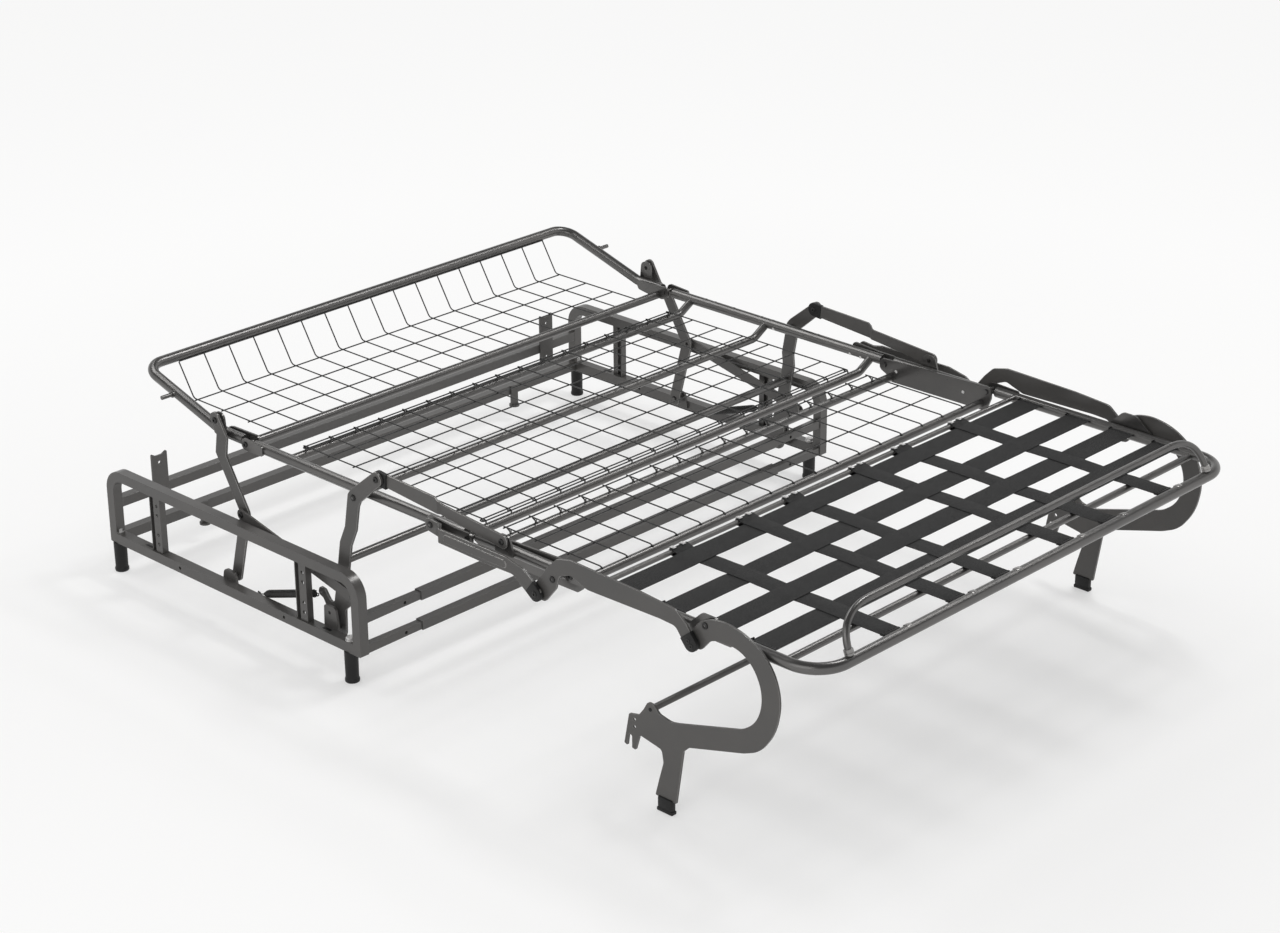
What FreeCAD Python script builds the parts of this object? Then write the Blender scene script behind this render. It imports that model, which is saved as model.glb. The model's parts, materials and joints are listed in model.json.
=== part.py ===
import FreeCAD, Part
import math
import os
import Sketcher
from FreeCAD import Placement, Rotation, Vector

# A folding steel sofa bed mechanism, shown opened flat as a bed.
# X runs across the bed, the foot end is at -Y, the head end at +Y, Z is up from the floor.

doc = FreeCAD.newDocument("SofaBedMechanism")
sheet = doc.addObject("Spreadsheet::Sheet", "Sizes")

# Pivots seen from the side: (y, z) of each pin with the bed open
PIVOTS = {
    "arm_base": (295.5, 94.6),
    "arm_seat": (238.2, 423.1),
    "arm_crank": (160.4, 488.8),
    "arm_tie": (234.3, 190.2),
    "rear_base": (655.6, 108.3),
    "rear_tie": (611.2, 274.8),
    "rear_head": (725.8, 466.0),
    "head_hinge": (634.7, 428.4),
    "mid_hinge": (-101.8, 423.8),
    "foot_hinge": (-409.5, 436.4),
    "upper_link_mid": (-214.5, 454.8),
    "lower_link_seat": (-2.0, 430.6),
    "lower_link_lever": (-337.7, 384.6),
    "lever_mid": (-378.6, 426.9),
    "lever_sickle": (-763.9, 413.5),
    "sickle_foot": (-792.2, 459.1),
}

SIZES = {
    # round bed tubes
    "bed_half": 690.0,
    "tube_rad": 12.5,
    "cross_rad": 10.0,
    "seat_cross_drop": 29.0,
    "neck_run": 42.0,
    "rod_rad": 6.0,
    "thin_rad": 8.0,
    "hoop_rad": 7.5,
    "bed_height": 426.0,
    "mid_height": 430.0,
    "foot_height": 436.0,
    "head_height": 512.0,
    "head_end": 1016.0,
    "foot_end": -1066.0,
    "corner_head": 45.0,
    "corner_foot": 75.0,
    # square base tubes
    "base_tube": 25.0,
    "base_front": 171.0,
    "base_rear": 1078.5,
    "base_bottom": 76.0,
    "base_top": 268.0,
    "sleeve_half": 600.0,
    "telescope": 20.0,
    "bar_hole_at": 648.0,
    "front_bar_z": 150.0,
    "rear_bar_z": 163.0,
    "leg_inset": 47.0,
    "leg_inset_rear": 17.5,
    "back_plate_inset": 137.0,
    "back_foot_inset": 260.0,
    # plates
    "gauge": 5.0,
    "arm_gauge": 6.0,
    "bracket_depth": 6.0,
    "plate_sink": 1.5,
    "cheek_gap": 0.5,
    "x_upper_step": 4.0,
    # pins and holes
    "pin_rad": 5.0,
    "hole_rad": 5.1,
    "small_hole": 4.0,
    "collar_rad": 8.0,
    # mesh wire and straps
    "wire": 2.6,
    "mesh_inset": 90.0,
    "hoop_inset": 86.0,
    "mesh_height": 414.0,
    "strap_gauge": 2.0,
    "strap_wide": 62.0,
    "strap_narrow": 50.0,
    # springs and legs
    "spring_rad": 9.0,
    "leg_top_rad": 14.5,
    "leg_low_rad": 14.0,
    "leg_rim_rad": 17.0,
    "leg_rim": 8.0,
}
# Layers of the linkage, as steps outwards from the outer plates on the bed's side tubes
LAYERS = {
    "x_link": 10.0,
    "x_upper_link": 11.0,
    "x_rear_top": 12.0,
    "x_eye": 14.0,
    "x_lever": 20.0,
    "x_arm_top": 21.0,
    "x_lower_link": 30.0,
    "x_arm_low": 32.0,
    "x_tie": 44.0,
    "x_spring": 49.0,
    "x_bracket": 53.0,
}
SIZES["x_inner"] = SIZES["bed_half"] - SIZES["tube_rad"] - SIZES["cheek_gap"] - SIZES["gauge"]
SIZES["x_outer"] = SIZES["bed_half"] + SIZES["tube_rad"] - SIZES["plate_sink"]
for layer, step in LAYERS.items():
    SIZES[layer] = SIZES["x_outer"] + step

# The base stands just outside the linkage, the mesh and the hoop inside the bed's side tubes
SIZES["base_half"] = SIZES["x_bracket"] + SIZES["bracket_depth"] + SIZES["base_tube"]
SIZES["mesh_half"] = SIZES["bed_half"] - SIZES["mesh_inset"]
SIZES["hoop_half"] = SIZES["bed_half"] - SIZES["hoop_inset"]

for pivot, (py, pz) in PIVOTS.items():
    SIZES[pivot + "_y"] = py
    SIZES[pivot + "_z"] = pz

for row, (alias, value) in enumerate(SIZES.items(), start=1):
    sheet.set("A%d" % row, alias)
    sheet.set("B%d" % row, str(value))
    sheet.setAlias("B%d" % row, alias)
doc.recompute()

SIDES = (("left", -1), ("right", 1))
nodes = []


def size(alias):
    return float(sheet.get(alias))


wire = size("wire")
mesh_half = size("mesh_half")
COUNT = 17
LANES = [-mesh_half + 2.0 * mesh_half * i / (COUNT - 1) for i in range(COUNT)]


def cell(alias):
    return "Sizes." + alias


def node(obj, label):
    """Mark an object as a finished sub-part; its label names its file."""
    obj.Label = label
    nodes.append(obj)
    return obj


def mirrored(side, start, length):
    """Start of a span along X for one side, as an expression."""
    return start if side > 0 else "-(%s) - (%s)" % (start, length)


def rounded(points, closed=True):
    """Lines and arcs through points (u, v, radius), tangent at each rounded corner."""
    count = len(points)
    cuts = []
    for i, (u, v, radius) in enumerate(points):
        here = Vector(u, v, 0)
        if radius <= 0 or (not closed and i in (0, count - 1)):
            cuts.append((here, None, here))
            continue
        before = Vector(points[i - 1][0], points[i - 1][1], 0) - here
        after = Vector(points[(i + 1) % count][0], points[(i + 1) % count][1], 0) - here
        room = 0.49 * min(before.Length, after.Length)
        before.normalize()
        after.normalize()
        half = before.getAngle(after) / 2.0
        if half > math.radians(89.0):
            cuts.append((here, None, here))
            continue
        reach = min(radius / math.tan(half), room)
        radius = reach * math.tan(half)
        bisector = (before + after).normalize()
        centre = here + bisector * (radius / math.sin(half))
        cuts.append((here + before * reach, centre - bisector * radius, here + after * reach))
    curves = []
    for i, (start, middle, end) in enumerate(cuts):
        if middle is not None:
            curves.append(Part.Arc(start, middle, end))
        if i < count - 1 or closed:
            following = cuts[(i + 1) % count][0]
            if (following - end).Length > 1e-6:
                curves.append(Part.LineSegment(end, following))
    return curves


def capsule(p, q, half):
    """A straight bar round two points, with round ends."""
    along = Vector(q[0] - p[0], q[1] - p[1], 0).normalize()
    over = Vector(-along.y, along.x, 0)
    corners = []
    for end, way in ((p, -1), (q, 1)):
        for lift in (way, -way):
            spot = Vector(end[0], end[1], 0) + along * (way * half) + over * (lift * half)
            corners.append((spot.x, spot.y, 0.98 * half))
    return corners


def new_body(name):
    return doc.addObject("PartDesign::Body", name)


def plane(body, role):
    for feature in body.Origin.OriginFeatures:
        if feature.Role == role:
            return feature
    raise ValueError(role)


def new_sketch(body, role, offset):
    sketch = body.newObject("Sketcher::SketchObject", body.Name + "Sketch")
    sketch.AttachmentSupport = (plane(body, role), [""])
    sketch.MapMode = "FlatFace"
    sketch.setExpression("AttachmentOffset.Base.z", offset)
    return sketch


def add_hole(sketch, spot, radius):
    """A round hole; a named pivot keeps its place from the sheet."""
    y, z = PIVOTS[spot] if isinstance(spot, str) else spot
    circle = sketch.addGeometry(Part.Circle(Vector(y, z, 0), Vector(0, 0, 1), size(radius)), False)
    index = sketch.addConstraint(Sketcher.Constraint("Radius", circle, size(radius)))
    sketch.setExpression("Constraints[%d]" % index, cell(radius))
    if isinstance(spot, str):
        across = sketch.addConstraint(Sketcher.Constraint("DistanceX", -1, 1, circle, 3, y))
        sketch.setExpression("Constraints[%d]" % across, cell(spot + "_y"))
        upward = sketch.addConstraint(Sketcher.Constraint("DistanceY", -1, 1, circle, 3, z))
        sketch.setExpression("Constraints[%d]" % upward, cell(spot + "_z"))


def add_pad(body, sketch, length):
    pad = body.newObject("PartDesign::Pad", body.Name + "Pad")
    pad.Profile = sketch
    pad.setExpression("Length", length)
    body.Tip = pad
    return pad


def plate(body, side, start, thick, outlines, holes=()):
    """Flat plates lying in a side plane, from start outwards by thick."""
    sketch = new_sketch(body, "YZ_Plane", mirrored(side, start, thick))
    for outline in outlines:
        for curve in rounded(outline):
            sketch.addGeometry(curve, False)
    for spot, radius in holes:
        add_hole(sketch, spot, radius)
    return add_pad(body, sketch, thick)


def pins(body, side, start, end, spots, radius="pin_rad"):
    """Round pins along X between two stations."""
    length = "%s - (%s)" % (end, start)
    sketch = new_sketch(body, "YZ_Plane", mirrored(side, start, length))
    for spot in spots:
        add_hole(sketch, spot, radius)
    return add_pad(body, sketch, length)


def band(name, role, corners, start, length):
    """A bent strip of even thickness, used to give a flat arm its joggle."""
    body = new_body(name)
    sketch = new_sketch(body, role, start)
    for curve in rounded([(u, v, 0) for u, v in corners]):
        sketch.addGeometry(curve, False)
    add_pad(body, sketch, length)
    return body


def fuse(name, shapes):
    joined = doc.addObject("Part::MultiFuse", name)
    joined.Shapes = shapes
    joined.Refine = False
    return joined


def common(name, shapes):
    shared = doc.addObject("Part::MultiCommon", name)
    shared.Shapes = shapes
    return shared


def box(name, lengths, corner):
    """A box; each length is an expression, the corner a point or expressions."""
    solid = doc.addObject("Part::Box", name)
    for prop, length in zip(("Length", "Width", "Height"), lengths):
        solid.setExpression(prop, length)
    for axis, value in zip("xyz", corner):
        if isinstance(value, str):
            solid.setExpression("Placement.Base." + axis, value)
        else:
            setattr(solid.Placement.Base, axis, value)
    solid.Placement = Placement(
        Vector(*[0.0 if isinstance(v, str) else v for v in corner]), Rotation())
    return solid


def rod(name, radius, start, end):
    """A straight round bar between two points."""
    first, last = Vector(*start), Vector(*end)
    solid = doc.addObject("Part::Cylinder", name)
    solid.setExpression("Radius", radius)
    solid.Height = (last - first).Length
    solid.Placement = Placement(first, Rotation(Vector(0, 0, 1), last - first))
    return solid


def cross_rod(name, radius, half, y, z):
    """A straight round bar across the bed, from -half to +half."""
    solid = doc.addObject("Part::Cylinder", name)
    solid.setExpression("Radius", cell(radius))
    solid.setExpression("Height", "2 * (%s)" % half)
    solid.Placement = Placement(Vector(0, y, z), Rotation(Vector(0, 0, 1), Vector(1, 0, 0)))
    solid.setExpression("Placement.Base.x", "-(%s)" % half)
    return solid


def filleted_path(points):
    """A wire through space points (x, y, z, radius) with round bends."""
    edges = []
    last = Vector(*points[0][:3])
    for i in range(1, len(points) - 1):
        here = Vector(*points[i][:3])
        before = (Vector(*points[i - 1][:3]) - here).normalize()
        after = (Vector(*points[i + 1][:3]) - here).normalize()
        half = before.getAngle(after) / 2.0
        radius = points[i][3]
        reach = radius / math.tan(half)
        bisector = (before + after).normalize()
        centre = here + bisector * (radius / math.sin(half))
        begin, finish = here + before * reach, here + after * reach
        edges.append(Part.LineSegment(last, begin).toShape())
        edges.append(Part.Arc(begin, centre - bisector * radius, finish).toShape())
        last = finish
    edges.append(Part.LineSegment(last, Vector(*points[-1][:3])).toShape())
    return Part.Wire(edges)


def bent_tube(name, radius, points):
    """A round tube swept along a path with round bends."""
    spine = doc.addObject("Part::Feature", name + "Path")
    spine.Shape = filleted_path(points)
    ring = doc.addObject("Part::Circle", name + "Ring")
    ring.setExpression("Radius", cell(radius))
    first, second = Vector(*points[0][:3]), Vector(*points[1][:3])
    ring.Placement = Placement(first, Rotation(Vector(0, 0, 1), second - first))
    tube = doc.addObject("Part::Sweep", name)
    tube.Sections = [ring]
    tube.Spine = (spine, ["Edge%d" % (i + 1) for i in range(len(spine.Shape.Edges))])
    tube.Solid = True
    tube.Frenet = False
    return tube


def mesh_posts(name, y, low, high):
    """Short wires standing on a cross tube, one under each lane of the mesh."""
    return [wire_bar("%s%d" % (name, i), (x, y, low), (x, y, high)) for i, x in enumerate(LANES)]


def wire_bar(name, start, end):
    """A square mesh wire between two points that share X or lie along X."""
    first, last = Vector(*start), Vector(*end)
    solid = doc.addObject("Part::Box", name)
    solid.setExpression("Length", cell("wire"))
    solid.setExpression("Width", cell("wire"))
    solid.Height = (last - first).Length
    turn = Rotation(Vector(0, 0, 1), last - first)
    shift = turn.multVec(Vector(-size("wire") / 2.0, -size("wire") / 2.0, 0))
    solid.Placement = Placement(first + shift, turn)
    return solid


# Base: two side frames with a bottom rail, round top corners and welded pivot brackets

tube = size("base_tube")
front, rear = size("base_front"), size("base_rear")
bottom, top = size("base_bottom"), size("base_top")
FRAME_OUTER = [(front, bottom, 3), (rear, bottom, 3), (rear, top, 55), (front, top, 55)]
FRAME_INNER = [
    (front + tube, bottom + tube, 3),
    (rear - tube, bottom + tube, 3),
    (rear - tube, top - tube, 32),
    (front + tube, top - tube, 32),
]
RAIL_HOLES = (((811.0, 88.5), "small_hole"), ((433.0, 88.5), "small_hole"))
FRONT_BRACKET = [(270, 80, 4), (322, 80, 4), (319, 152, 8), (281, 152, 8)]
REAR_BRACKET = [(628, 80, 4), (684, 80, 4), (675, 125, 15), (637, 125, 15)]
SPRING_ANCHOR = (567.0, 90.0)
SPRING_LEVER = (351.0, 163.0)

for label, side in SIDES:
    frame = new_body("SideFrame" + label)
    inner_face = "Sizes.base_half - Sizes.base_tube"
    plate(frame, side, inner_face, cell("base_tube"), (FRAME_OUTER, FRAME_INNER), RAIL_HOLES)
    plate(frame, side, cell("x_bracket"), "%s - Sizes.x_bracket" % inner_face,
          (FRONT_BRACKET, REAR_BRACKET), (((301.0, 135.0), "small_hole"),))
    pins(frame, side, "Sizes.x_arm_low - 4", cell("x_bracket"), ("arm_base", "rear_base"))
    pins(frame, side, "Sizes.x_spring - 6", inner_face, (SPRING_ANCHOR,), "small_hole")
    node(frame, "side_frame_" + label)

    for place, y in (("front", 371.0), ("rear", 898.0)):
        channel = new_body("SideBracket%s%s" % (place, label))
        low, high = bottom + tube, top - tube
        web = [(y - 19, low, 0), (y + 19, low, 0), (y + 19, high, 0), (y - 19, high, 0)]
        holes = [((y, low + step), "small_hole") for step in (22, 46, 96, 120)]
        plate(channel, side, "Sizes.base_half - 7", "3", (web,), holes)
        flanges = [
            [(y + edge, low, 0), (y + edge + 3, low, 0), (y + edge + 3, high, 0), (y + edge, high, 0)]
            for edge in (-19, 16)
        ]
        plate(channel, side, "Sizes.base_half - 21", "14", flanges)
        node(channel, "side_bracket_%s_%s" % (place, label))

    for place, y in (("front", front + size("leg_inset")), ("rear", rear - size("leg_inset_rear"))):
        shank = doc.addObject("Part::Cone", "LegShank%s%s" % (place, label))
        shank.setExpression("Radius1", cell("leg_low_rad"))
        shank.setExpression("Radius2", cell("leg_top_rad"))
        shank.setExpression("Height", cell("base_bottom"))
        rim = doc.addObject("Part::Cylinder", "LegRim%s%s" % (place, label))
        rim.setExpression("Radius", cell("leg_rim_rad"))
        rim.setExpression("Height", cell("leg_rim"))
        spot = Vector(side * (size("base_half") - tube / 2.0), y, 0)
        shank.Placement = Placement(spot, Rotation())
        rim.Placement = Placement(spot, Rotation())
        node(fuse("Leg%s%s" % (place, label), [shank, rim]), "leg_%s_%s" % (place, label))

# Cross bars of the base: telescopic bars in front, plain ones behind

span = "2 * (Sizes.base_half - Sizes.base_tube)"
for place, z in (("upper", size("front_bar_z")), ("lower", bottom)):
    thin = (tube - size("telescope")) / 2.0
    inner = box("FrontInner" + place, (span, cell("telescope"), cell("telescope")),
                ("-Sizes.base_half + Sizes.base_tube", front + thin, z + thin))
    sleeve = box("FrontSleeve" + place, ("2 * Sizes.sleeve_half", cell("base_tube"), cell("base_tube")),
                 ("-Sizes.sleeve_half", front, z))
    bar = fuse("FrontBarSolid" + place, [inner, sleeve])
    drills = []
    for label, side in SIDES:
        drill = rod("FrontDrill%s%s" % (place, label), cell("small_hole"),
                    (side * size("bar_hole_at"), front - 5, z + tube / 2.0),
                    (side * size("bar_hole_at"), front + tube + 5, z + tube / 2.0))
        drills.append(drill)
    cut = doc.addObject("Part::Cut", "FrontBar" + place)
    cut.Base = bar
    cut.Tool = fuse("FrontDrills" + place, drills)
    node(cut, "front_bar_" + place)

inner_rear = rear - tube
upper = box("RearUpper", (span, cell("base_tube"), cell("base_tube")),
            ("-Sizes.base_half + Sizes.base_tube", inner_rear, size("rear_bar_z")))
node(upper, "rear_bar_upper")
pieces = [box("RearLower", (span, cell("base_tube"), cell("base_tube")),
              ("-Sizes.base_half + Sizes.base_tube", inner_rear, bottom))]
for label, side in SIDES:
    x = side * (size("base_half") - size("back_foot_inset"))
    pieces.append(box("RearTab" + label, ("24", cell("gauge"), "55"), (x - 12.0, inner_rear - 4.9, 46.0)))
    pieces.append(rod("RearDisc" + label, "14", (x, inner_rear - 2.0, 42.0), (x, inner_rear - 2.0, 47.0)))
node(fuse("RearBarLower", pieces), "rear_bar_lower")

for label, side in SIDES:
    bracket = new_body("RearBracket" + label)
    sketch = new_sketch(bracket, "XZ_Plane", "-(Sizes.base_rear - Sizes.base_tube)")
    x = side * (size("base_half") - size("back_plate_inset"))
    outline = [(x - 23, 138, 3), (x + 23, 138, 3), (x + 23, 272, 3), (x + 9, 264, 5), (x - 9, 264, 5),
               (x - 23, 272, 3)]
    for curve in rounded(outline):
        sketch.addGeometry(curve, False)
    for z in (245.0, 150.0):
        add_hole(sketch, (x, z), "small_hole")
    add_pad(bracket, sketch, cell("gauge"))
    node(bracket, "rear_bracket_" + label)

# Front arms: joggled flat bars with a crank at the top, a tie blade and a spring lever below

ARM_OUTLINE = [
    (273, 71, 20), (318, 71, 20), (319, 106, 8), (346, 150, 6), (363, 157, 9), (357, 176, 9), (338, 173, 6),
    (311, 136, 10), (300, 190, 0), (256, 428, 10), (246, 440, 6), (158.5, 511.4, 14), (137.8, 486.9, 14),
    (216, 418, 8), (222, 405, 6), (255, 235, 6), (225, 208, 10), (217, 182, 12), (240, 170, 8), (270, 145, 8),
]
LOW, HIGH = size("x_arm_low"), size("x_arm_top")
ARM = size("arm_gauge")
FRONT_JOGGLE = (310.0, 345.0)
REAR_JOGGLE = (400.0, 432.0)


def joggle_band(name, side, low_x, high_x, joggle):
    """Strip outline in the XZ plane: outboard below, inboard above."""
    z_low, z_high = joggle
    corners = [
        (low_x, 40), (low_x + ARM, 40), (low_x + ARM, z_low), (high_x + ARM, z_high), (high_x + ARM, 560),
        (high_x, 560), (high_x, z_high), (low_x, z_low),
    ]
    return band(name, "XZ_Plane", [(side * u, v) for u, v in corners], "-900", "1000")


for label, side in SIDES:
    blank = new_body("FrontArmBlank" + label)
    plate(blank, side, "Sizes.x_arm_top - 3", "Sizes.x_arm_low - Sizes.x_arm_top + 15", (ARM_OUTLINE,),
          (("arm_base", "hole_rad"), ("arm_seat", "hole_rad"), (SPRING_LEVER, "small_hole")))
    bent = common("FrontArmBent" + label,
                  [blank, joggle_band("FrontArmBand" + label, side, LOW, HIGH, FRONT_JOGGLE)])
    stubs = new_body("FrontArmTiePin" + label)
    pins(stubs, side, "Sizes.x_arm_low + 1", "Sizes.x_tie + 8", ("arm_tie",))
    crank = new_body("FrontArmCrankPin" + label)
    pins(crank, side, "Sizes.x_upper_link - 2", "Sizes.x_arm_top + 1", ("arm_crank",))
    node(fuse("FrontArm" + label, [bent, stubs, crank]), "front_arm_" + label)
node(cross_rod("TorsionTube", "cross_rad", "Sizes.x_arm_low", 265.0, 268.0), "torsion_tube")

# Rear arms: bent flat bars that carry the head section, and the tie bars to the front arms

REAR_OUTLINE = [
    (644.2, 88.7, 14), (675.2, 96.9, 14), (628.4, 272.4, 12), (748.5, 474.5, 14), (721.1, 490.9, 14),
    (594.0, 277.2, 22),
]
for label, side in SIDES:
    blank = new_body("RearArmBlank" + label)
    plate(blank, side, "Sizes.x_rear_top - 3", "Sizes.x_arm_low - Sizes.x_rear_top + 15", (REAR_OUTLINE,),
          (("rear_base", "hole_rad"), ("rear_tie", "hole_rad"), ("rear_head", "hole_rad")))
    arm = common("RearArm" + label,
                 [blank, joggle_band("RearArmBand" + label, side, LOW, size("x_rear_top"), REAR_JOGGLE)])
    node(arm, "rear_arm_" + label)

    tie = new_body("TieBar" + label)
    plate(tie, side, cell("x_tie"), cell("gauge"),
          (capsule(PIVOTS["arm_tie"], PIVOTS["rear_tie"], 13.0),),
          (("arm_tie", "hole_rad"), ("rear_tie", "hole_rad")))
    node(tie, "tie_bar_" + label)

# Balance springs: closed coils drawn as round bars with flat eyes at both ends

for label, side in SIDES:
    x = side * size("x_spring")
    way = Vector(0, SPRING_LEVER[0] - SPRING_ANCHOR[0], SPRING_LEVER[1] - SPRING_ANCHOR[1])
    total = way.Length
    way.normalize()
    start = Vector(x, *SPRING_ANCHOR)
    coil = rod("SpringCoil" + label, cell("spring_rad"), start + way * 22.0, start + way * (total - 22.0))
    eyes = new_body("SpringEyes" + label)
    near_end = (SPRING_ANCHOR[0] + way.y * 26.0, SPRING_ANCHOR[1] + way.z * 26.0)
    far_end = (SPRING_LEVER[0] - way.y * 26.0, SPRING_LEVER[1] - way.z * 26.0)
    plate(eyes, side, "Sizes.x_spring - 1.5", "3",
          (capsule(SPRING_ANCHOR, near_end, 8.0), capsule(far_end, SPRING_LEVER, 8.0)),
          ((SPRING_ANCHOR, "pin_rad"), (SPRING_LEVER, "pin_rad")))
    node(fuse("Spring" + label, [coil, eyes]), "spring_" + label)

# Upper links: joggled flat bars from the arm cranks to the middle section

UPPER_OUTLINE = [
    (-231, 439, 14), (-19, 461, 0), (150, 474, 0), (177, 476, 13), (175, 505, 13), (131, 503, 0),
    (-14, 498, 6), (-32, 485, 6), (-231, 470, 14),
]
for label, side in SIDES:
    x = size("x_upper_link")
    step = size("x_upper_step")
    thick = size("gauge")
    blank = new_body("UpperLinkBlank" + label)
    plate(blank, side, "Sizes.x_upper_link - Sizes.x_upper_step - 2", "Sizes.gauge + Sizes.x_upper_step + 4",
          (UPPER_OUTLINE,), (("arm_crank", "hole_rad"), ("upper_link_mid", "hole_rad")))
    corners = [
        (x, 240), (x + thick, 240), (x + thick, -22), (x - step + thick, -29), (x - step + thick, -300),
        (x - step, -300), (x - step, -29), (x, -22),
    ]
    strip = band("UpperLinkBand" + label, "XY_Plane", [(side * u, v) for u, v in corners], "380", "200")
    node(common("UpperLink" + label, [blank, strip]), "upper_link_" + label)

# Lower links: ribbed bars from the seat section to the levers, stepped outwards past their eyes

LOWER_OUTLINE = [
    (13, 416, 12), (13, 446, 12), (-46, 440, 8), (-250, 440, 40), (-302, 429, 25), (-354, 394, 10),
    (-352, 369, 14), (-324, 369, 14), (-272, 407, 25), (-180, 405, 0), (-46, 407, 8),
]
RIB = [(-62, 414, 8), (-62, 433, 8), (-252, 432, 8), (-252, 414, 8)]
for label, side in SIDES:
    near, far = size("x_eye"), size("x_lower_link")
    blank = new_body("LowerLinkBlank" + label)
    depth = "Sizes.x_lower_link - Sizes.x_eye + Sizes.gauge + 4"
    plate(blank, side, "Sizes.x_eye - 2", depth, (LOWER_OUTLINE,),
          (("lower_link_seat", "hole_rad"), ("lower_link_lever", "hole_rad")))
    corners = [
        (near, 60), (near + thick, 60), (near + thick, -28), (far + thick, -44), (far + thick, -400),
        (far, -400), (far, -49), (near, -33),
    ]
    strip = band("LowerLinkBand" + label, "XY_Plane", [(side * u, v) for u, v in corners], "330", "200")
    bent = common("LowerLinkBent" + label, [blank, strip])
    rib = new_body("LowerLinkRib" + label)
    plate(rib, side, "Sizes.x_lower_link + Sizes.gauge - 1", "3", (RIB,))
    node(fuse("LowerLink" + label, [bent, rib]), "lower_link_" + label)

# Levers: long bent plates that swing on the middle section and turn the sickle legs

LEVER_OUTLINE = [
    (-322, 371, 13), (-322, 396, 10), (-366, 452, 14), (-390, 476, 16), (-430, 486, 30), (-495, 484, 0),
    (-626, 481, 0), (-722, 474, 25), (-752, 450, 12), (-781, 412, 13), (-766, 396, 13), (-744, 410, 8),
    (-722, 438, 20), (-680, 440, 0), (-626, 439, 0), (-479, 436, 30), (-430, 453, 16), (-398, 440, 12),
    (-388, 408, 8), (-356, 369, 13),
]
for label, side in SIDES:
    lever = new_body("Lever" + label)
    plate(lever, side, cell("x_lever"), cell("gauge"), (LEVER_OUTLINE,),
          (("lower_link_lever", "hole_rad"), ("lever_mid", "hole_rad"), ("lever_sickle", "hole_rad")))
    node(lever, "lever_" + label)

# Sickle legs: curved plates that stand the foot end on the floor and carry a fork and a lug

SICKLE_OUTLINE = [
    (-750, 402, 12), (-750, 424, 10), (-772, 458, 60), (-800, 476, 90), (-844, 484, 200), (-906, 473, 200),
    (-964, 434, 200), (-992, 365, 200), (-977, 287, 200), (-937, 233, 90), (-895, 215, 60), (-750, 173, 10),
    (-734, 158, 10), (-724, 93, 0), (-714, 30, 3), (-656, 30, 3), (-667, 71, 30), (-679, 112, 20),
    (-674, 140, 10), (-613, 151, 6), (-601, 112, 3), (-591, 114, 2), (-591, 143, 4), (-582, 143, 4),
    (-578, 115, 2), (-569, 118, 3), (-583, 190, 4), (-610, 196, 8), (-624, 214, 6), (-636, 235, 10),
    (-652, 234, 10), (-668, 218, 20), (-700, 212, 40), (-722, 217, 40), (-890, 266, 60), (-924, 291, 90),
    (-941, 330, 200), (-940, 372, 200), (-918, 414, 200), (-880, 438, 200), (-828, 438, 60), (-806, 430, 30),
    (-782, 402, 14),
]
SICKLE_LUG = (-643.0, 220.0)
FORK_HOLES = (((-598.0, 181.0), "small_hole"), ((-598.0, 164.0), "small_hole"))
for label, side in SIDES:
    sickle = new_body("Sickle" + label)
    plate(sickle, side, cell("x_link"), cell("gauge"), (SICKLE_OUTLINE,),
          (("sickle_foot", "hole_rad"), ("lever_sickle", "hole_rad")) + FORK_HOLES)
    node(sickle, "sickle_" + label)
    pad_corner = "Sizes.x_link - 4" if side > 0 else "-Sizes.x_link - 9"
    pad = box("SickleFoot" + label, ("13", "40", "30"), (pad_corner, -705.0, 0.0))
    node(pad, "sickle_foot_" + label)
node(cross_rod("SickleTube", "hoop_rad", "Sizes.x_link", *SICKLE_LUG), "sickle_tube")

# Head section: a U of round tube bent upwards, hinge plates, a low cross tube and headboard pins

half = size("bed_half")
bed, mid, foot = size("bed_height"), size("mid_height"), size("foot_height")
head_y, head_z = size("head_end"), size("head_height")
corner = size("corner_head")
HEAD_PATH = [
    (half, 655, 429, 0), (half, 738, 429, 80), (half, head_y, head_z, corner),
    (-half, head_y, head_z, corner), (-half, 738, 429, 80), (-half, 655, 429, 0),
]
HEAD_PLATE = [
    (620, 414, 13), (620, 443, 13), (715, 441, 8), (735, 436, 8), (725, 416, 8), (690, 410.5, 10),
    (642, 408, 8),
]
HEAD_WELD = [(662, 424, 2), (662, 434, 2), (702, 434, 2), (702, 424, 2)]
HEAD_LUG = [(704, 420, 5), (748, 426, 5), (742, 482, 15), (710, 482, 15)]
HEAD_PIN = (900.0, 477.5)
pieces = [bent_tube("HeadTube", "tube_rad", HEAD_PATH)]
HEAD_CROSS = (655.0, 417.5)
HEAD_MESH_START = HEAD_CROSS[0] + size("cross_rad") + 2.0
HEAD_MESH_Z = 420.0
pieces.append(cross_rod("HeadCross", "cross_rad", "Sizes.x_inner + 2", *HEAD_CROSS))
for label, side in SIDES:
    cheeks = new_body("HeadCheek" + label)
    plate(cheeks, side, cell("x_inner"), cell("gauge"), (HEAD_PLATE,), (("head_hinge", "hole_rad"),))
    plate(cheeks, side, "Sizes.x_inner + Sizes.gauge", "4", (HEAD_WELD,))
    lug = new_body("HeadLug" + label)
    plate(lug, side, cell("x_outer"), cell("gauge"), (HEAD_LUG,), (("rear_head", "hole_rad"),))
    pin = new_body("HeadPin" + label)
    pins(pin, side, "Sizes.bed_half", "Sizes.bed_half + 45", (HEAD_PIN,))
    collar = new_body("HeadCollar" + label)
    pins(collar, side, "Sizes.bed_half", "Sizes.bed_half + 16", (HEAD_PIN,), "collar_rad")
    pieces += [cheeks, lug, pin, collar]
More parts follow.
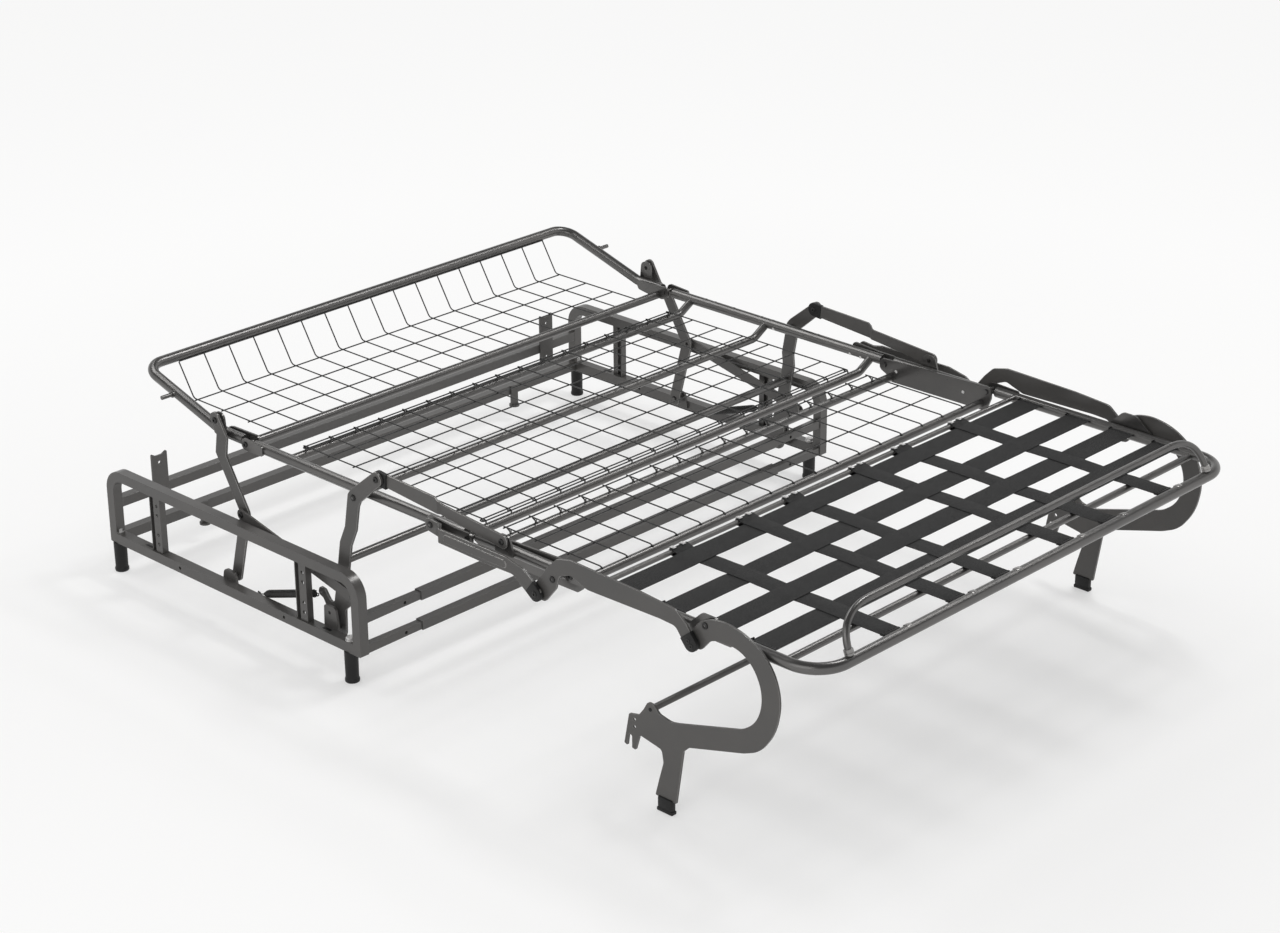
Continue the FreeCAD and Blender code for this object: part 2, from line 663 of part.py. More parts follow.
for i, x in enumerate(LANES):
    ends = (x, HEAD_CROSS[0], HEAD_MESH_Z), (x, HEAD_MESH_START, HEAD_MESH_Z)
    pieces.append(wire_bar("HeadStub%d" % i, *ends))
node(fuse("HeadFrame", pieces), "head_frame")

# Seat section: straight side tubes, three cross tubes, outer hinge plates and pivot pins

SEAT_HEAD_PLATE = [(649, 414, 13), (649, 443, 13), (575, 438, 6), (575, 414, 6)]
SEAT_MID_PLATE = [(30, 416, 6), (20, 444, 10), (-60, 438, 6), (-117, 438, 13), (-117, 409, 13), (-60, 414, 6)]
SEAT_CROSS = (550.0, 295.0, -47.0)
pieces = []
for label, side in SIDES:
    x = side * half
    pieces.append(rod("SeatTube" + label, cell("tube_rad"), (x, -82.0, bed), (x, 615.0, bed)))
    ends = new_body("SeatPlateHead" + label)
    plate(ends, side, cell("x_outer"), cell("gauge"), (SEAT_HEAD_PLATE,))
    pins(ends, side, "Sizes.x_inner - 4", cell("x_outer"), ("head_hinge",))
    joint = new_body("SeatPlateMid" + label)
    plate(joint, side, cell("x_outer"), cell("gauge"), (SEAT_MID_PLATE,))
    pins(joint, side, "Sizes.x_inner - 4", cell("x_outer"), ("mid_hinge",))
    pins(joint, side, "Sizes.x_outer + Sizes.gauge", "Sizes.x_eye + 8", ("lower_link_seat",))
    pivot = new_body("SeatPivot" + label)
    pins(pivot, side, "Sizes.bed_half", "Sizes.x_arm_top + 9", ("arm_seat",))
    pieces += [ends, joint, pivot]
seat_low = bed - size("seat_cross_drop")
neck_end = half - size("tube_rad") / 2.0
neck = neck_end - size("neck_run")
for i, y in enumerate(SEAT_CROSS):
    path = [
        (neck_end, y, bed - 5.0, 0), (neck, y, seat_low, 35),
        (-neck, y, seat_low, 35), (-neck_end, y, bed - 5.0, 0),
    ]
    pieces.append(bent_tube("SeatCross%d" % i, "cross_rad", path))
for i, y in enumerate((SEAT_CROSS[0], SEAT_CROSS[2])):
    low = seat_low + size("cross_rad") - 1.0
    pieces += mesh_posts("SeatPost%d_" % i, y, low, size("mesh_height") - wire / 2.0)
node(fuse("SeatFrame", pieces), "seat_frame")

# Middle section: short side tubes on deep inner plates, with a cross tube at each end

MID_PLATE = [
    (-87, 411, 12), (-87, 438, 12), (-424, 451, 13), (-424, 422, 10), (-415, 398, 8), (-402, 388, 8),
    (-124, 385, 8), (-110, 400, 8),
]
MID_WELD = [(-150, 424, 2), (-150, 436, 2), (-372, 436, 2), (-372, 424, 2)]
MID_LUG = [(-245, 424, 5), (-185, 424, 5), (-199, 469, 14), (-230, 469, 14)]
MID_CROSS = ((-124.0, 398.0), (-395.0, 404.0))
MID_MESH_Z = 416.5
MID_MESH_START = -104.0
pieces = []
for label, side in SIDES:
    x = side * half
    pieces.append(rod("MidTube" + label, cell("tube_rad"), (x, -390.0, mid), (x, -122.0, mid)))
    cheeks = new_body("MidCheek" + label)
    plate(cheeks, side, cell("x_inner"), cell("gauge"), (MID_PLATE,),
          (("mid_hinge", "hole_rad"), ("foot_hinge", "hole_rad")))
    plate(cheeks, side, "Sizes.x_inner + Sizes.gauge", "4", (MID_WELD,))
    lug = new_body("MidLug" + label)
    plate(lug, side, cell("x_outer"), cell("gauge"), (MID_LUG,), (("upper_link_mid", "hole_rad"),))
    pivot = new_body("MidPivot" + label)
    pins(pivot, side, "Sizes.bed_half", "Sizes.x_lever + 7", ("lever_mid",))
    pieces += [cheeks, lug, pivot]
for i, (y, z) in enumerate(MID_CROSS):
    pieces.append(cross_rod("MidCross%d" % i, "cross_rad", "Sizes.x_inner + 2", y, z))
    pieces += mesh_posts("MidPost%d_" % i, y, z + size("cross_rad") - 1.0, MID_MESH_Z - wire / 2.0)
node(fuse("MiddleFrame", pieces), "middle_frame")

# Foot section: a U of round tube, a strap rod, a thin cross tube, hinge plates and sickle brackets

bend = size("corner_foot")
foot_y = size("foot_end")
FOOT_PATH = [
    (half, -428, foot, 0), (half, foot_y, foot, bend), (-half, foot_y, foot, bend), (-half, -428, foot, 0),
]
FOOT_PLATE = [(-395, 422, 13), (-395, 451, 13), (-482, 447, 6), (-482, 425, 6)]
SICKLE_BRACKET = [
    (-854, 428, 5), (-742, 428, 5), (-742, 446, 8), (-774, 477, 15), (-810, 477, 15), (-854, 446, 8),
]
STRAP_ROD_Y = -485.0
pieces = [bent_tube("FootTube", "tube_rad", FOOT_PATH)]
pieces.append(cross_rod("StrapRod", "rod_rad", "Sizes.bed_half", STRAP_ROD_Y, foot + 4.5))
pieces.append(cross_rod("FootThinTube", "thin_rad", "Sizes.bed_half", foot_y + 95.0, foot - 4.0))
for label, side in SIDES:
    ends = new_body("FootPlate" + label)
    plate(ends, side, cell("x_outer"), cell("gauge"), (FOOT_PLATE,))
    pins(ends, side, "Sizes.x_inner - 4", cell("x_outer"), ("foot_hinge",))
    holder = new_body("SickleBracket" + label)
    plate(holder, side, cell("x_outer"), cell("gauge"), (SICKLE_BRACKET,))
    pins(holder, side, "Sizes.x_outer + Sizes.gauge", "Sizes.x_link + 7", ("sickle_foot",))
    pieces += [ends, holder]
node(fuse("FootFrame", pieces), "foot_frame")

# Mattress hoop: a thinner tube standing on the foot tube

hoop_half = size("hoop_half")
HOOP_PATH = [
    (hoop_half, foot_y, foot + 9, 0), (hoop_half, foot_y + 14, foot + 42, 30),
    (hoop_half - 44, foot_y + 36, foot + 90, 50), (44 - hoop_half, foot_y + 36, foot + 90, 50),
    (-hoop_half, foot_y + 14, foot + 42, 30), (-hoop_half, foot_y, foot + 9, 0),
]
hoop = bent_tube("HoopTube", "hoop_rad", HOOP_PATH)
tool = bent_tube("HoopSaddle", "tube_rad", FOOT_PATH)
seated = doc.addObject("Part::Cut", "Hoop")
seated.Base = hoop
seated.Tool = tool
node(seated, "mattress_hoop")

# Woven straps: six along the bed under four across it, in one web

STRAPS_LONG = (-462.0, -258.0, -110.0, 110.0, 258.0, 462.0)
STRAPS_CROSS = (-536.0, -671.0, -792.0, -909.0)
strap_z = foot + size("tube_rad") - size("strap_gauge")
strap_end = foot_y + 7.0
strap_run = str(STRAP_ROD_Y - strap_end)
pieces = []
for i, x in enumerate(STRAPS_LONG):
    pieces.append(box("StrapLong%d" % i, (cell("strap_narrow"), strap_run, "Sizes.strap_gauge + 0.4"),
                      (x - size("strap_narrow") / 2.0, strap_end, strap_z)))
for i, y in enumerate(STRAPS_CROSS):
    pieces.append(box("StrapCross%d" % i, ("2 * Sizes.bed_half", cell("strap_wide"), cell("strap_gauge")),
                      ("-Sizes.bed_half", y - size("strap_wide") / 2.0, strap_z + size("strap_gauge"))))
node(fuse("StrapWeb", pieces), "strap_web")

# Wire mesh of the head, seat and middle sections, resting on the posts of the frames


def mesh(label, y_from, y_to, z, rows, stub_end=None):
    """A flat wire mesh: lanes along the bed, going on from a tube's stubs if it has them, and even rows."""
    bars = []
    lane_from = y_from - wire / 2.0 if stub_end is None else stub_end
    for i, x in enumerate(LANES):
        bars.append(wire_bar("%sLane%d" % (label, i), (x, lane_from, z), (x, y_to + wire / 2.0, z)))
    for i in range(0 if stub_end is None else 1, rows):
        y = y_from + (y_to - y_from) * i / (rows - 1)
        bars.append(wire_bar("%sRow%d" % (label, i), (-mesh_half - wire / 2.0, y, z),
                             (mesh_half + wire / 2.0, y, z)))
    return bars


seat_wires = mesh("SeatWire", SEAT_CROSS[2] + 3.0, SEAT_CROSS[0] + 5.0, size("mesh_height"), 8)
node(fuse("SeatMesh", seat_wires), "seat_mesh")
middle_wires = mesh("MidWire", MID_CROSS[1][0], MID_MESH_START, MID_MESH_Z, 4)
node(fuse("MiddleMesh", middle_wires), "middle_mesh")
HEAD_MESH_END = head_y - 66.0
head_wires = mesh("HeadWire", HEAD_CROSS[0], HEAD_MESH_END, HEAD_MESH_Z, 4, HEAD_MESH_START)
node(fuse("HeadMesh", head_wires), "head_mesh")

RISE_END = (head_y - 8.5, head_z - 10.0)
RISE_START = (HEAD_MESH_END + wire / 2.0 + 1.0, HEAD_MESH_Z)
bars = [wire_bar("HeadRise%d" % i, (x,) + RISE_START, (x,) + RISE_END) for i, x in enumerate(LANES)]
for i, share in enumerate((0.02, 0.97)):
    y = RISE_START[0] + share * (RISE_END[0] - RISE_START[0])
    z = RISE_START[1] + share * (RISE_END[1] - RISE_START[1])
    x = mesh_half + wire / 2.0
    bars.append(wire_bar("HeadRiseRow%d" % i, (-x, y, z), (x, y, z)))
node(fuse("HeadMeshRise", bars), "head_mesh_rise")

doc.recompute()

# Every object has to have been built before any file is written

for obj in doc.Objects:
    if "Invalid" in obj.State or "Error" in obj.State:
        raise RuntimeError("not built: %s %s" % (obj.Label, obj.State))
for obj in nodes:
    if obj.Shape.isNull() or not obj.Shape.isValid():
        raise RuntimeError("bad shape: %s" % obj.Label)
    if len(obj.Shape.Solids) != 1:
        raise RuntimeError("%s has %d solids" % (obj.Label, len(obj.Shape.Solids)))

os.makedirs("parts", exist_ok=True)
for obj in nodes:
    obj.Shape.exportStep("parts/%s.step" % obj.Label)
print("wrote %d sub-parts" % len(nodes))
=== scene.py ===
import json
import math
import random

import bmesh
import bpy
from mathutils import Euler, Matrix, Vector


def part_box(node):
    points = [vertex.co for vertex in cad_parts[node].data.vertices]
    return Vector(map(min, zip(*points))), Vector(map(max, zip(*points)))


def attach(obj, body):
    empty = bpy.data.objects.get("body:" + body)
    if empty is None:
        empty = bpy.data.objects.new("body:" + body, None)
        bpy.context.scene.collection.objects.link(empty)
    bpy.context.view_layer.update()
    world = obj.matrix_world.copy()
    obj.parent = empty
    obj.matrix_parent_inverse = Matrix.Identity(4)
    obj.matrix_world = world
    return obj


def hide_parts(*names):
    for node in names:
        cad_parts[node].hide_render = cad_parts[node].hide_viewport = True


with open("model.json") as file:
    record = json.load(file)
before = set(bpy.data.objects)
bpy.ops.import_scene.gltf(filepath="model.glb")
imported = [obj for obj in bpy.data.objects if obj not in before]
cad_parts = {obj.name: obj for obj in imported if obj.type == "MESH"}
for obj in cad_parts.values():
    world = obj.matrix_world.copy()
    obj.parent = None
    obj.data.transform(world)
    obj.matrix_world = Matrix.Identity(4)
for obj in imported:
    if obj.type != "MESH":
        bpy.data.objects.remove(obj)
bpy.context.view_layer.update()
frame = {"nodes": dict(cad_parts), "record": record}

# Looks of a folding steel sofa bed mechanism, opened flat.
# Sizes are in millimetres in the part's own frame and become metres in mm(). The studio's are in metres.

NODES = frame["nodes"]
BODIES = frame["record"]["behaviour"]["bodies"]
BODY_OF = {node: body for body, names in BODIES.items() for node in names}
SIDES = (("left", -1), ("right", 1))
BOTH = (-1, 1)
UP = (0, 0, 1)
rng = random.Random(11)

# Pivots of the linkage as (y, z)
ARM_BASE = (295.5, 94.6)
ARM_SEAT = (238.2, 423.1)
ARM_CRANK = (160.4, 488.8)
ARM_TIE = (234.3, 190.2)
REAR_BASE = (655.6, 108.3)
REAR_TIE = (611.2, 274.8)
REAR_HEAD = (725.8, 466.0)
HEAD_HINGE = (634.7, 428.4)
MID_HINGE = (-101.8, 423.8)
FOOT_HINGE = (-409.5, 436.4)
UPPER_MID = (-214.5, 454.8)
LOWER_SEAT = (-2.0, 430.6)
LOWER_LEVER = (-337.7, 384.6)
LEVER_MID = (-378.6, 426.9)
LEVER_SICKLE = (-763.9, 413.5)
SICKLE_FOOT = (-792.2, 459.1)
SPRING_ANCHOR = (567.0, 90.0)
SPRING_LEVER = (351.0, 163.0)

# Middle planes of the base's tubes and the bed's side tubes, and the tops of both
BASE_X, BED_X = 772.5, 690.0
RAIL_TOP, TUBE_TOP = 101.0, 438.0


def mm(*values):
    return Vector(values) * 0.001


# Materials

NOISE_SPAN = (0.3, 0.7)


def add_node(tree, kind, inputs=None, **settings):
    """A new node with its settings and the values of its unlinked inputs."""
    made = tree.nodes.new(kind)
    for key, value in settings.items():
        setattr(made, key, value)
    for key, value in (inputs or {}).items():
        made.inputs[key].default_value = value
    return made


class Shader:
    """A node material with the few node kinds that the finishes below share."""

    def __init__(self, name):
        self.material = bpy.data.materials.new(name)
        self.material.use_nodes = True
        self.tree = self.material.node_tree
        self.surface = self.tree.nodes["Principled BSDF"]
        self.coords = self.add("ShaderNodeTexCoord").outputs["Object"]

    def add(self, kind, inputs=None, **settings):
        return add_node(self.tree, kind, inputs, **settings)

    def wire(self, start, end):
        self.tree.links.new(start, end)

    def noise(self, scale, detail=2.0, stretch=None):
        """Cloudy noise, with the three axes stretched if factors are given."""
        vector = self.coords
        if stretch is not None:
            mapping = self.add("ShaderNodeMapping", {"Scale": stretch})
            self.wire(vector, mapping.inputs["Vector"])
            vector = mapping.outputs["Vector"]
        made = self.add("ShaderNodeTexNoise", {"Scale": scale, "Detail": detail})
        self.wire(vector, made.inputs["Vector"])
        return made.outputs["Fac"]

    def bands(self, axis, scale, distortion, detail=2.0):
        """Parallel ribs that follow each other along an axis."""
        inputs = {"Scale": scale, "Distortion": distortion, "Detail": detail}
        made = self.add("ShaderNodeTexWave", inputs, wave_type="BANDS", bands_direction="XYZ"[axis])
        self.wire(self.coords, made.inputs["Vector"])
        return made.outputs["Fac"]

    def tones(self, factor, dark, light):
        """Colour between two tones."""
        made = self.add("ShaderNodeValToRGB")
        for element, position, colour in zip(made.color_ramp.elements, NOISE_SPAN, (dark, light)):
            element.position = position
            element.color = colour + (1.0,)
        self.wire(factor, made.inputs["Fac"])
        return made.outputs["Color"]

    def spread(self, factor, low, high):
        """Number between two limits."""
        inputs = {"From Min": NOISE_SPAN[0], "From Max": NOISE_SPAN[1], "To Min": low, "To Max": high}
        made = self.add("ShaderNodeMapRange", inputs)
        self.wire(factor, made.inputs["Value"])
        return made.outputs["Result"]

    def bump(self, height, strength, distance, before=None):
        """Relief, on top of an earlier one if given; the distance is in metres."""
        made = self.add("ShaderNodeBump", {"Strength": strength, "Distance": distance})
        self.wire(height, made.inputs["Height"])
        if before is not None:
            self.wire(before, made.inputs["Normal"])
        return made.outputs["Normal"]

    def finish(self, colour, roughness, normal=None, **fixed):
        """Wires the surface up; fixed values name its sockets with _ for a space."""
        self.wire(colour, self.surface.inputs["Base Color"])
        self.wire(roughness, self.surface.inputs["Roughness"])
        if normal is not None:
            self.wire(normal, self.surface.inputs["Normal"])
        for name, value in fixed.items():
            self.surface.inputs[name.replace("_", " ")].default_value = value
        return self.material


def shade(value, warm=0.0):
    """A grey, a little warmer if asked."""
    return (value * (1.0 + warm), value, value * (1.0 - warm))


def painted(name, dark, light, rough, peel, metallic=0.0, warm=0.03, gloss=0.55, grain=950.0):
    """Baked satin paint: cloudy tone, slightly uneven gloss and fine orange peel."""
    s = Shader(name)
    colour = s.tones(s.noise(7.0, 4.0), shade(dark, warm * 0.6), shade(light, warm))
    uneven = s.spread(s.noise(40.0, 5.0), *rough)
    normal = s.bump(s.noise(grain), peel, 0.0004)
    return s.finish(colour, uneven, normal, Metallic=metallic, Specular_IOR_Level=gloss)


def moulded(name, dark, light):
    """Black moulded plastic with a fine spark-eroded grain; the same near-black also serves as painted shade.
    """
    s = Shader(name)
    colour = s.tones(s.noise(18.0, 3.0), shade(dark), shade(light))
    grain = s.noise(1600.0, 3.0)
    normal = s.bump(grain, 0.25, 0.0003)
    return s.finish(colour, s.spread(grain, 0.42, 0.6), normal, Specular_IOR_Level=0.32)


def plated(name, tone, rough, metallic):
    """Plated fasteners with faint turning marks."""
    s = Shader(name)
    colour = s.tones(s.noise(120.0, 4.0), shade(tone * 0.8), shade(tone, 0.02))
    lines = s.noise(60.0, 4.0, stretch=(30.0, 2.0, 2.0))
    normal = s.bump(lines, 0.15, 0.0002)
    return s.finish(colour, s.spread(lines, *rough), normal, Metallic=metallic)


def woven(name, dark, light, along):
    """Elastic webbing: fine ribs across the run and looser cords along it."""
    s = Shader(name)
    ribs = s.bands(along, 190.0, 0.5, detail=1.0)
    cords = s.bands(1 - along, 120.0, 0.8)
    colour = s.tones(s.noise(60.0, 5.0), shade(dark), shade(light))
    normal = s.bump(cords, 0.35, 0.0004, before=s.bump(ribs, 0.45, 0.0005))
    gloss = s.spread(s.noise(300.0, 3.0), 0.55, 0.75)
    return s.finish(colour, gloss, normal, Sheen_Weight=0.02, Sheen_Roughness=0.5, Specular_IOR_Level=0.25)


PLATE = painted("paint_plate", 0.072, 0.082, (0.32, 0.38), 0.07, warm=0.05, gloss=0.42)
# Lighter, metallic paint on the bevels of plates and tubes: a painted highlight along their edges
EDGE_HIGHLIGHT = painted("paint_edge_highlight", 0.24, 0.36, (0.2, 0.32), 0.06, metallic=0.8)
TUBE = painted("paint_tube", 0.124, 0.142, (0.27, 0.33), 0.03, metallic=0.8, grain=110.0)
RAIL = painted("paint_rail", 0.078, 0.085, (0.28, 0.32), 0.03, metallic=0.2, warm=0.05, grain=160.0)
# Subtly lighter paint on the bevels of rails and brackets: a painted highlight along their edges
RAIL_EDGE_HIGHLIGHT = painted("paint_rail_edge_highlight", 0.12, 0.14, (0.3, 0.36), 0.03, metallic=0.2, grain=160.0)
WIRE = painted("paint_wire", 0.010, 0.018, (0.42, 0.55), 0.1)
SPRING = painted("spring_black", 0.010, 0.018, (0.3, 0.45), 0.1, metallic=0.2)
PLASTIC = moulded("plastic_black", 0.007, 0.012)
# Near-black for holes, slots, eyes and sockets: painted shade where light doesn't reach in
PAINTED_SHADE = moulded("painted_shade_dark", 0.003, 0.005)
ZINC = plated("zinc", 0.72, (0.22, 0.4), 0.55)
RIVET = plated("rivet_dark", 0.05, (0.28, 0.42), 0.9)
WEB_LONG = woven("webbing_long", 0.011, 0.016, 1)
WEB_CROSS = woven("webbing_cross", 0.011, 0.016, 0)

dict.fromkeys((PLATE, EDGE_HIGHLIGHT, TUBE, RAIL, RAIL_EDGE_HIGHLIGHT, ZINC, RIVET), "painted_steel")
dict.fromkeys((PLASTIC, PAINTED_SHADE), "black_plastic")
dict.fromkeys((WEB_LONG, WEB_CROSS), "black_webbing")

# Building blocks


def place(name, data, body, material, replaces=()):
    """Adds an object that rides on a body and wears one material."""
    made = bpy.data.objects.new(name, data)
    bpy.context.scene.collection.objects.link(made)
    data.materials.append(material)
    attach(made, body)
    if replaces:
        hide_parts(*replaces)
    return made


def mesh_piece(name, bm, body, material, replaces=(), angle=35.0):
    """Makes a piece of a bmesh, smooth except at edges sharper than the angle."""
    data = bpy.data.meshes.new(name)
    bmesh.ops.recalc_face_normals(bm, faces=bm.faces)
    bm.to_mesh(data)
    bm.free()
    for polygon in data.polygons:
        polygon.use_smooth = True
    data.set_sharp_from_angle(angle=math.radians(angle))
    return place(name, data, body, material, replaces)


def wires(name, paths, radius, body, material, replaces=(), resolution=3):
    """Round wires along poly lines, as one piece."""
    curve = bpy.data.curves.new(name, "CURVE")
    curve.dimensions = "3D"
    curve.bevel_depth = radius * 0.001
    curve.bevel_resolution = resolution
    curve.use_fill_caps = True
    for path in paths:
        spline = curve.splines.new("POLY")
        spline.points.add(len(path) - 1)
        for point, spot in zip(spline.points, path):
            point.co = mm(*spot).to_4d()
        spline.use_smooth = True
    return place(name, curve, body, material, replaces)


def lathe(bm, origin, axis, profile, steps=24, twist=0.0):
    """Turns (radius, height) points round an axis."""
    upright = Vector(axis).normalized().to_track_quat("Z", "Y").to_matrix().to_4x4()
    turn = Matrix.Translation(mm(*origin)) @ upright
    rings = []
    for radius, height in profile:
        if radius == 0:
            rings.append([bm.verts.new(turn @ mm(0, 0, height))])
            continue
        ring = []
        for i in range(steps):
            a = 2.0 * math.pi * i / steps + twist
            ring.append(bm.verts.new(turn @ mm(radius * math.cos(a), radius * math.sin(a), height)))
        rings.append(ring)
    for low, high in zip(rings, rings[1:]):
        for i in range(steps):
            j = (i + 1) % steps
            corners = [low[i % len(low)], low[j % len(low)], high[j % len(high)], high[i % len(high)]]
            corners = list(dict.fromkeys(corners))
            if len(corners) > 2:
                bm.faces.new(corners)


def rounded_box(bm, centre, lengths, edge):
    """A block with bevelled edges."""
    made = bmesh.ops.create_cube(bm, size=1.0)["verts"]
    bmesh.ops.scale(bm, vec=mm(*lengths), verts=made)
    edges = list({e for v in made for e in v.link_edges})
    result = bmesh.ops.bevel(bm, geom=edges, offset=edge * 0.001, segments=2, affect="EDGES", profile=0.5)
    verts = list({v for f in result["faces"] for v in f.verts} | {v for v in made if v.is_valid})
    bmesh.ops.translate(bm, vec=mm(*centre), verts=verts)


def circle(u, v, radius, steps=20):
    turns = [2.0 * math.pi * i / steps for i in range(steps)]
    return [(u + radius * math.cos(a), v + radius * math.sin(a)) for a in turns]


def slab(bm, loops, thick, turn):
    """A flat sheet with holes: the first loop is its outline, the others are cut out of it."""
    edges = []
    for loop in loops:
        verts = [bm.verts.new(turn @ mm(u, v, 0)) for u, v in loop]
        edges += [bm.edges.new((a, b)) for a, b in zip(verts, verts[1:] + verts[:1])]
    made = bmesh.ops.triangle_fill(bm, use_beauty=True, use_dissolve=True, edges=edges)["geom"]
    faces = [item for item in made if isinstance(item, bmesh.types.BMFace)]
    lifted = bmesh.ops.extrude_face_region(bm, geom=faces)["geom"]
    rise = turn.to_3x3() @ mm(0, 0, thick)
    bmesh.ops.translate(bm, vec=rise, verts=[v for v in lifted if isinstance(v, bmesh.types.BMVert)])


# Painted steel of the frames and the linkage

PLATES = ("front_arm", "rear_arm", "tie_bar", "upper_link", "lower_link", "lever", "sickle")
TUBES = ("head_frame", "seat_frame", "middle_frame", "foot_frame", "sickle_tube", "torsion_tube")
SLEEVE_HALF, SLEEVE_SLIM = 601.0, 0.88


def slim_sleeve(bm, node):
    """Makes the middle of a telescopic bar a little thinner than its ends."""
    low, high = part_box(node)
    middle = (Vector(low) + Vector(high)) / 2.0
    for vert in bm.verts:
        if abs(vert.co.x) < SLEEVE_HALF * 0.001:
            vert.co.y = middle.y + (vert.co.y - middle.y) * SLEEVE_SLIM
            vert.co.z = middle.z + (vert.co.z - middle.z) * SLEEVE_SLIM


def dressed(node, material, edge, rim):
    """Stands for a plate, rail or tube, with its edges eased and painted in the rim's lighter tone as a
    painted highlight.
    """
    bm = bmesh.new()
    bm.from_mesh(NODES[node].data)
    if node.startswith("front_bar"):
        slim_sleeve(bm, node)
    bmesh.ops.remove_doubles(bm, verts=bm.verts, dist=1e-6)
    bmesh.ops.dissolve_limit(bm, angle_limit=math.radians(1.0), verts=bm.verts, edges=bm.edges)
    made = mesh_piece(node + "_eased", bm, BODY_OF[node], material, (node,))
    made.data.materials.append(rim)
    bevel = made.modifiers.new("eased", "BEVEL")
    bevel.width = edge * 0.001
    bevel.segments = 2
    # The bevels' faces take the rim's lighter paint, a painted highlight along every edge
    bevel.material = 1
    bevel.limit_method = "ANGLE"
    bevel.angle_limit = math.radians(50.0)
    bevel.harden_normals = True


for node in sorted(BODY_OF):
    kind = node.rsplit("_", 1)[0]
    if kind in PLATES:
        dressed(node, PLATE, edge=0.8, rim=EDGE_HIGHLIGHT)
    elif kind == "rear_bracket":
        dressed(node, RAIL, edge=0.5, rim=RAIL_EDGE_HIGHLIGHT)
    elif kind in ("side_frame", "front_bar", "rear_bar"):
        dressed(node, RAIL, edge=1.6, rim=RAIL_EDGE_HIGHLIGHT)
    elif node in TUBES:
        dressed(node, TUBE, edge=0.4, rim=EDGE_HIGHLIGHT)

# Side brackets: a punched web, folded in beside it to an open groove

BRACKET_Y = (("front", 371.0), ("rear", 898.0))
BRACKET_LOW, BRACKET_HIGH = 101.2, 242.8
BRACKET_OUT, BRACKET_IN, GROOVE_IN, SHEET = 781.0, 764.0, 771.0, 2.4
WEB_BACK = BRACKET_OUT - SHEET
WEB_FROM, WEB_TO, BRACKET_HALF = -19.0, 5.0, 19.0
WEB_HOLES, WEB_HOLE_R = (123.0, 147.0, 197.0, 221.0), 4.6
WEB = [(WEB_FROM, BRACKET_LOW), (WEB_TO, BRACKET_LOW), (WEB_TO, BRACKET_HIGH), (WEB_FROM, BRACKET_HIGH)]
HOLES = [circle((WEB_FROM + WEB_TO) / 2.0, z, WEB_HOLE_R) for z in WEB_HOLES]
FLANGE = [
    (BRACKET_IN, WEB_FROM),
    (WEB_BACK, WEB_FROM),
    (WEB_BACK, WEB_FROM + SHEET),
    (BRACKET_IN, WEB_FROM + SHEET),
]
GROOVE = [
    (GROOVE_IN, WEB_TO - SHEET),
    (WEB_BACK, WEB_TO - SHEET),
    (WEB_BACK, WEB_TO),
    (GROOVE_IN + SHEET, WEB_TO),
    (GROOVE_IN + SHEET, BRACKET_HALF - SHEET),
    (BRACKET_OUT, BRACKET_HALF - SHEET),
    (BRACKET_OUT, BRACKET_HALF),
    (GROOVE_IN, BRACKET_HALF),
]

for label, side in SIDES:
    facing_out = Matrix(((0, 0, side, 0), (1, 0, 0, 0), (0, 1, 0, 0), (0, 0, 0, 1)))
    facing_up = Matrix.Diagonal((side, 1, 1, 1))
    for end, y in BRACKET_Y:
        bracket = bmesh.new()
        slab(bracket, [WEB] + HOLES, SHEET, Matrix.Translation(mm(side * WEB_BACK, y, 0)) @ facing_out)
        for outline in (FLANGE, GROOVE):
            foot = Matrix.Translation(mm(0, y, BRACKET_LOW))
            slab(bracket, [outline], BRACKET_HIGH - BRACKET_LOW, foot @ facing_up)
        node = "side_bracket_%s_%s" % (end, label)
        mesh_piece(node + "_folded", bracket, "base", RAIL, (node,), angle=20.0)

# Painted shade as dark slabs in the slots of the lower rails' tops and dark discs in the punched holes along
# the seat's side tubes, whose rims carry a painted highlight

SLOT_Y, SLOT = (297.0, 940.0), (8, 26, 1.0)
HOLE_Y = (125.0, 174.0, 274.0, 311.0, 406.0, 470.0, 502.0)
HOLE = ((0, 0), (2.9, 0), (2.9, 0.4), (0, 0.5))
RIM = ((2.8, -0.6), (4.3, -0.6), (4.2, 0.1), (3.6, 0.35), (2.8, 0.1))

slots, holes, rims = bmesh.new(), bmesh.new(), bmesh.new()
for side in BOTH:
    for y in SLOT_Y:
        rounded_box(slots, (side * BASE_X, y, RAIL_TOP - 0.1), SLOT, edge=0.4)
    for y in HOLE_Y:
        lathe(holes, (side * BED_X, y, TUBE_TOP), UP, HOLE, steps=18)
        lathe(rims, (side * BED_X, y, TUBE_TOP + 0.3), UP, RIM, steps=18)
mesh_piece("rail_slot_shade", slots, "base", PAINTED_SHADE)
mesh_piece("tube_hole_shade", holes, "seat_section", PAINTED_SHADE)
mesh_piece("tube_hole_rim_highlights", rims, "seat_section", EDGE_HIGHLIGHT)

# Mattress hoop with wide bends, its feet in collars on the foot tube

HOOP_R, HOOP_X = 7.5, 604.0
HOOP_FOOT = (HOOP_X, -1066.0, 447.0)
HOOP_BEND = ((HOOP_X, -1061.5, 458.0), (600.0, -1031.0, 528.0), (500.0, -1030.0, 526.0))
BEND_STEPS = 16
COLLAR_Y, COLLAR_Z, COLLAR_AXIS = -1062.0, 456.5, (0, 0.38, 0.92)
COLLAR = (
    (7.6, -9.0), (9.6, -9.0), (10.2, -8.0), (10.2, -4.6), (9.4, -4.2),
    (9.4, -3.4), (10.2, -3.0), (10.2, 3.4), (9.4, 4.4), (7.6, 4.4),
)


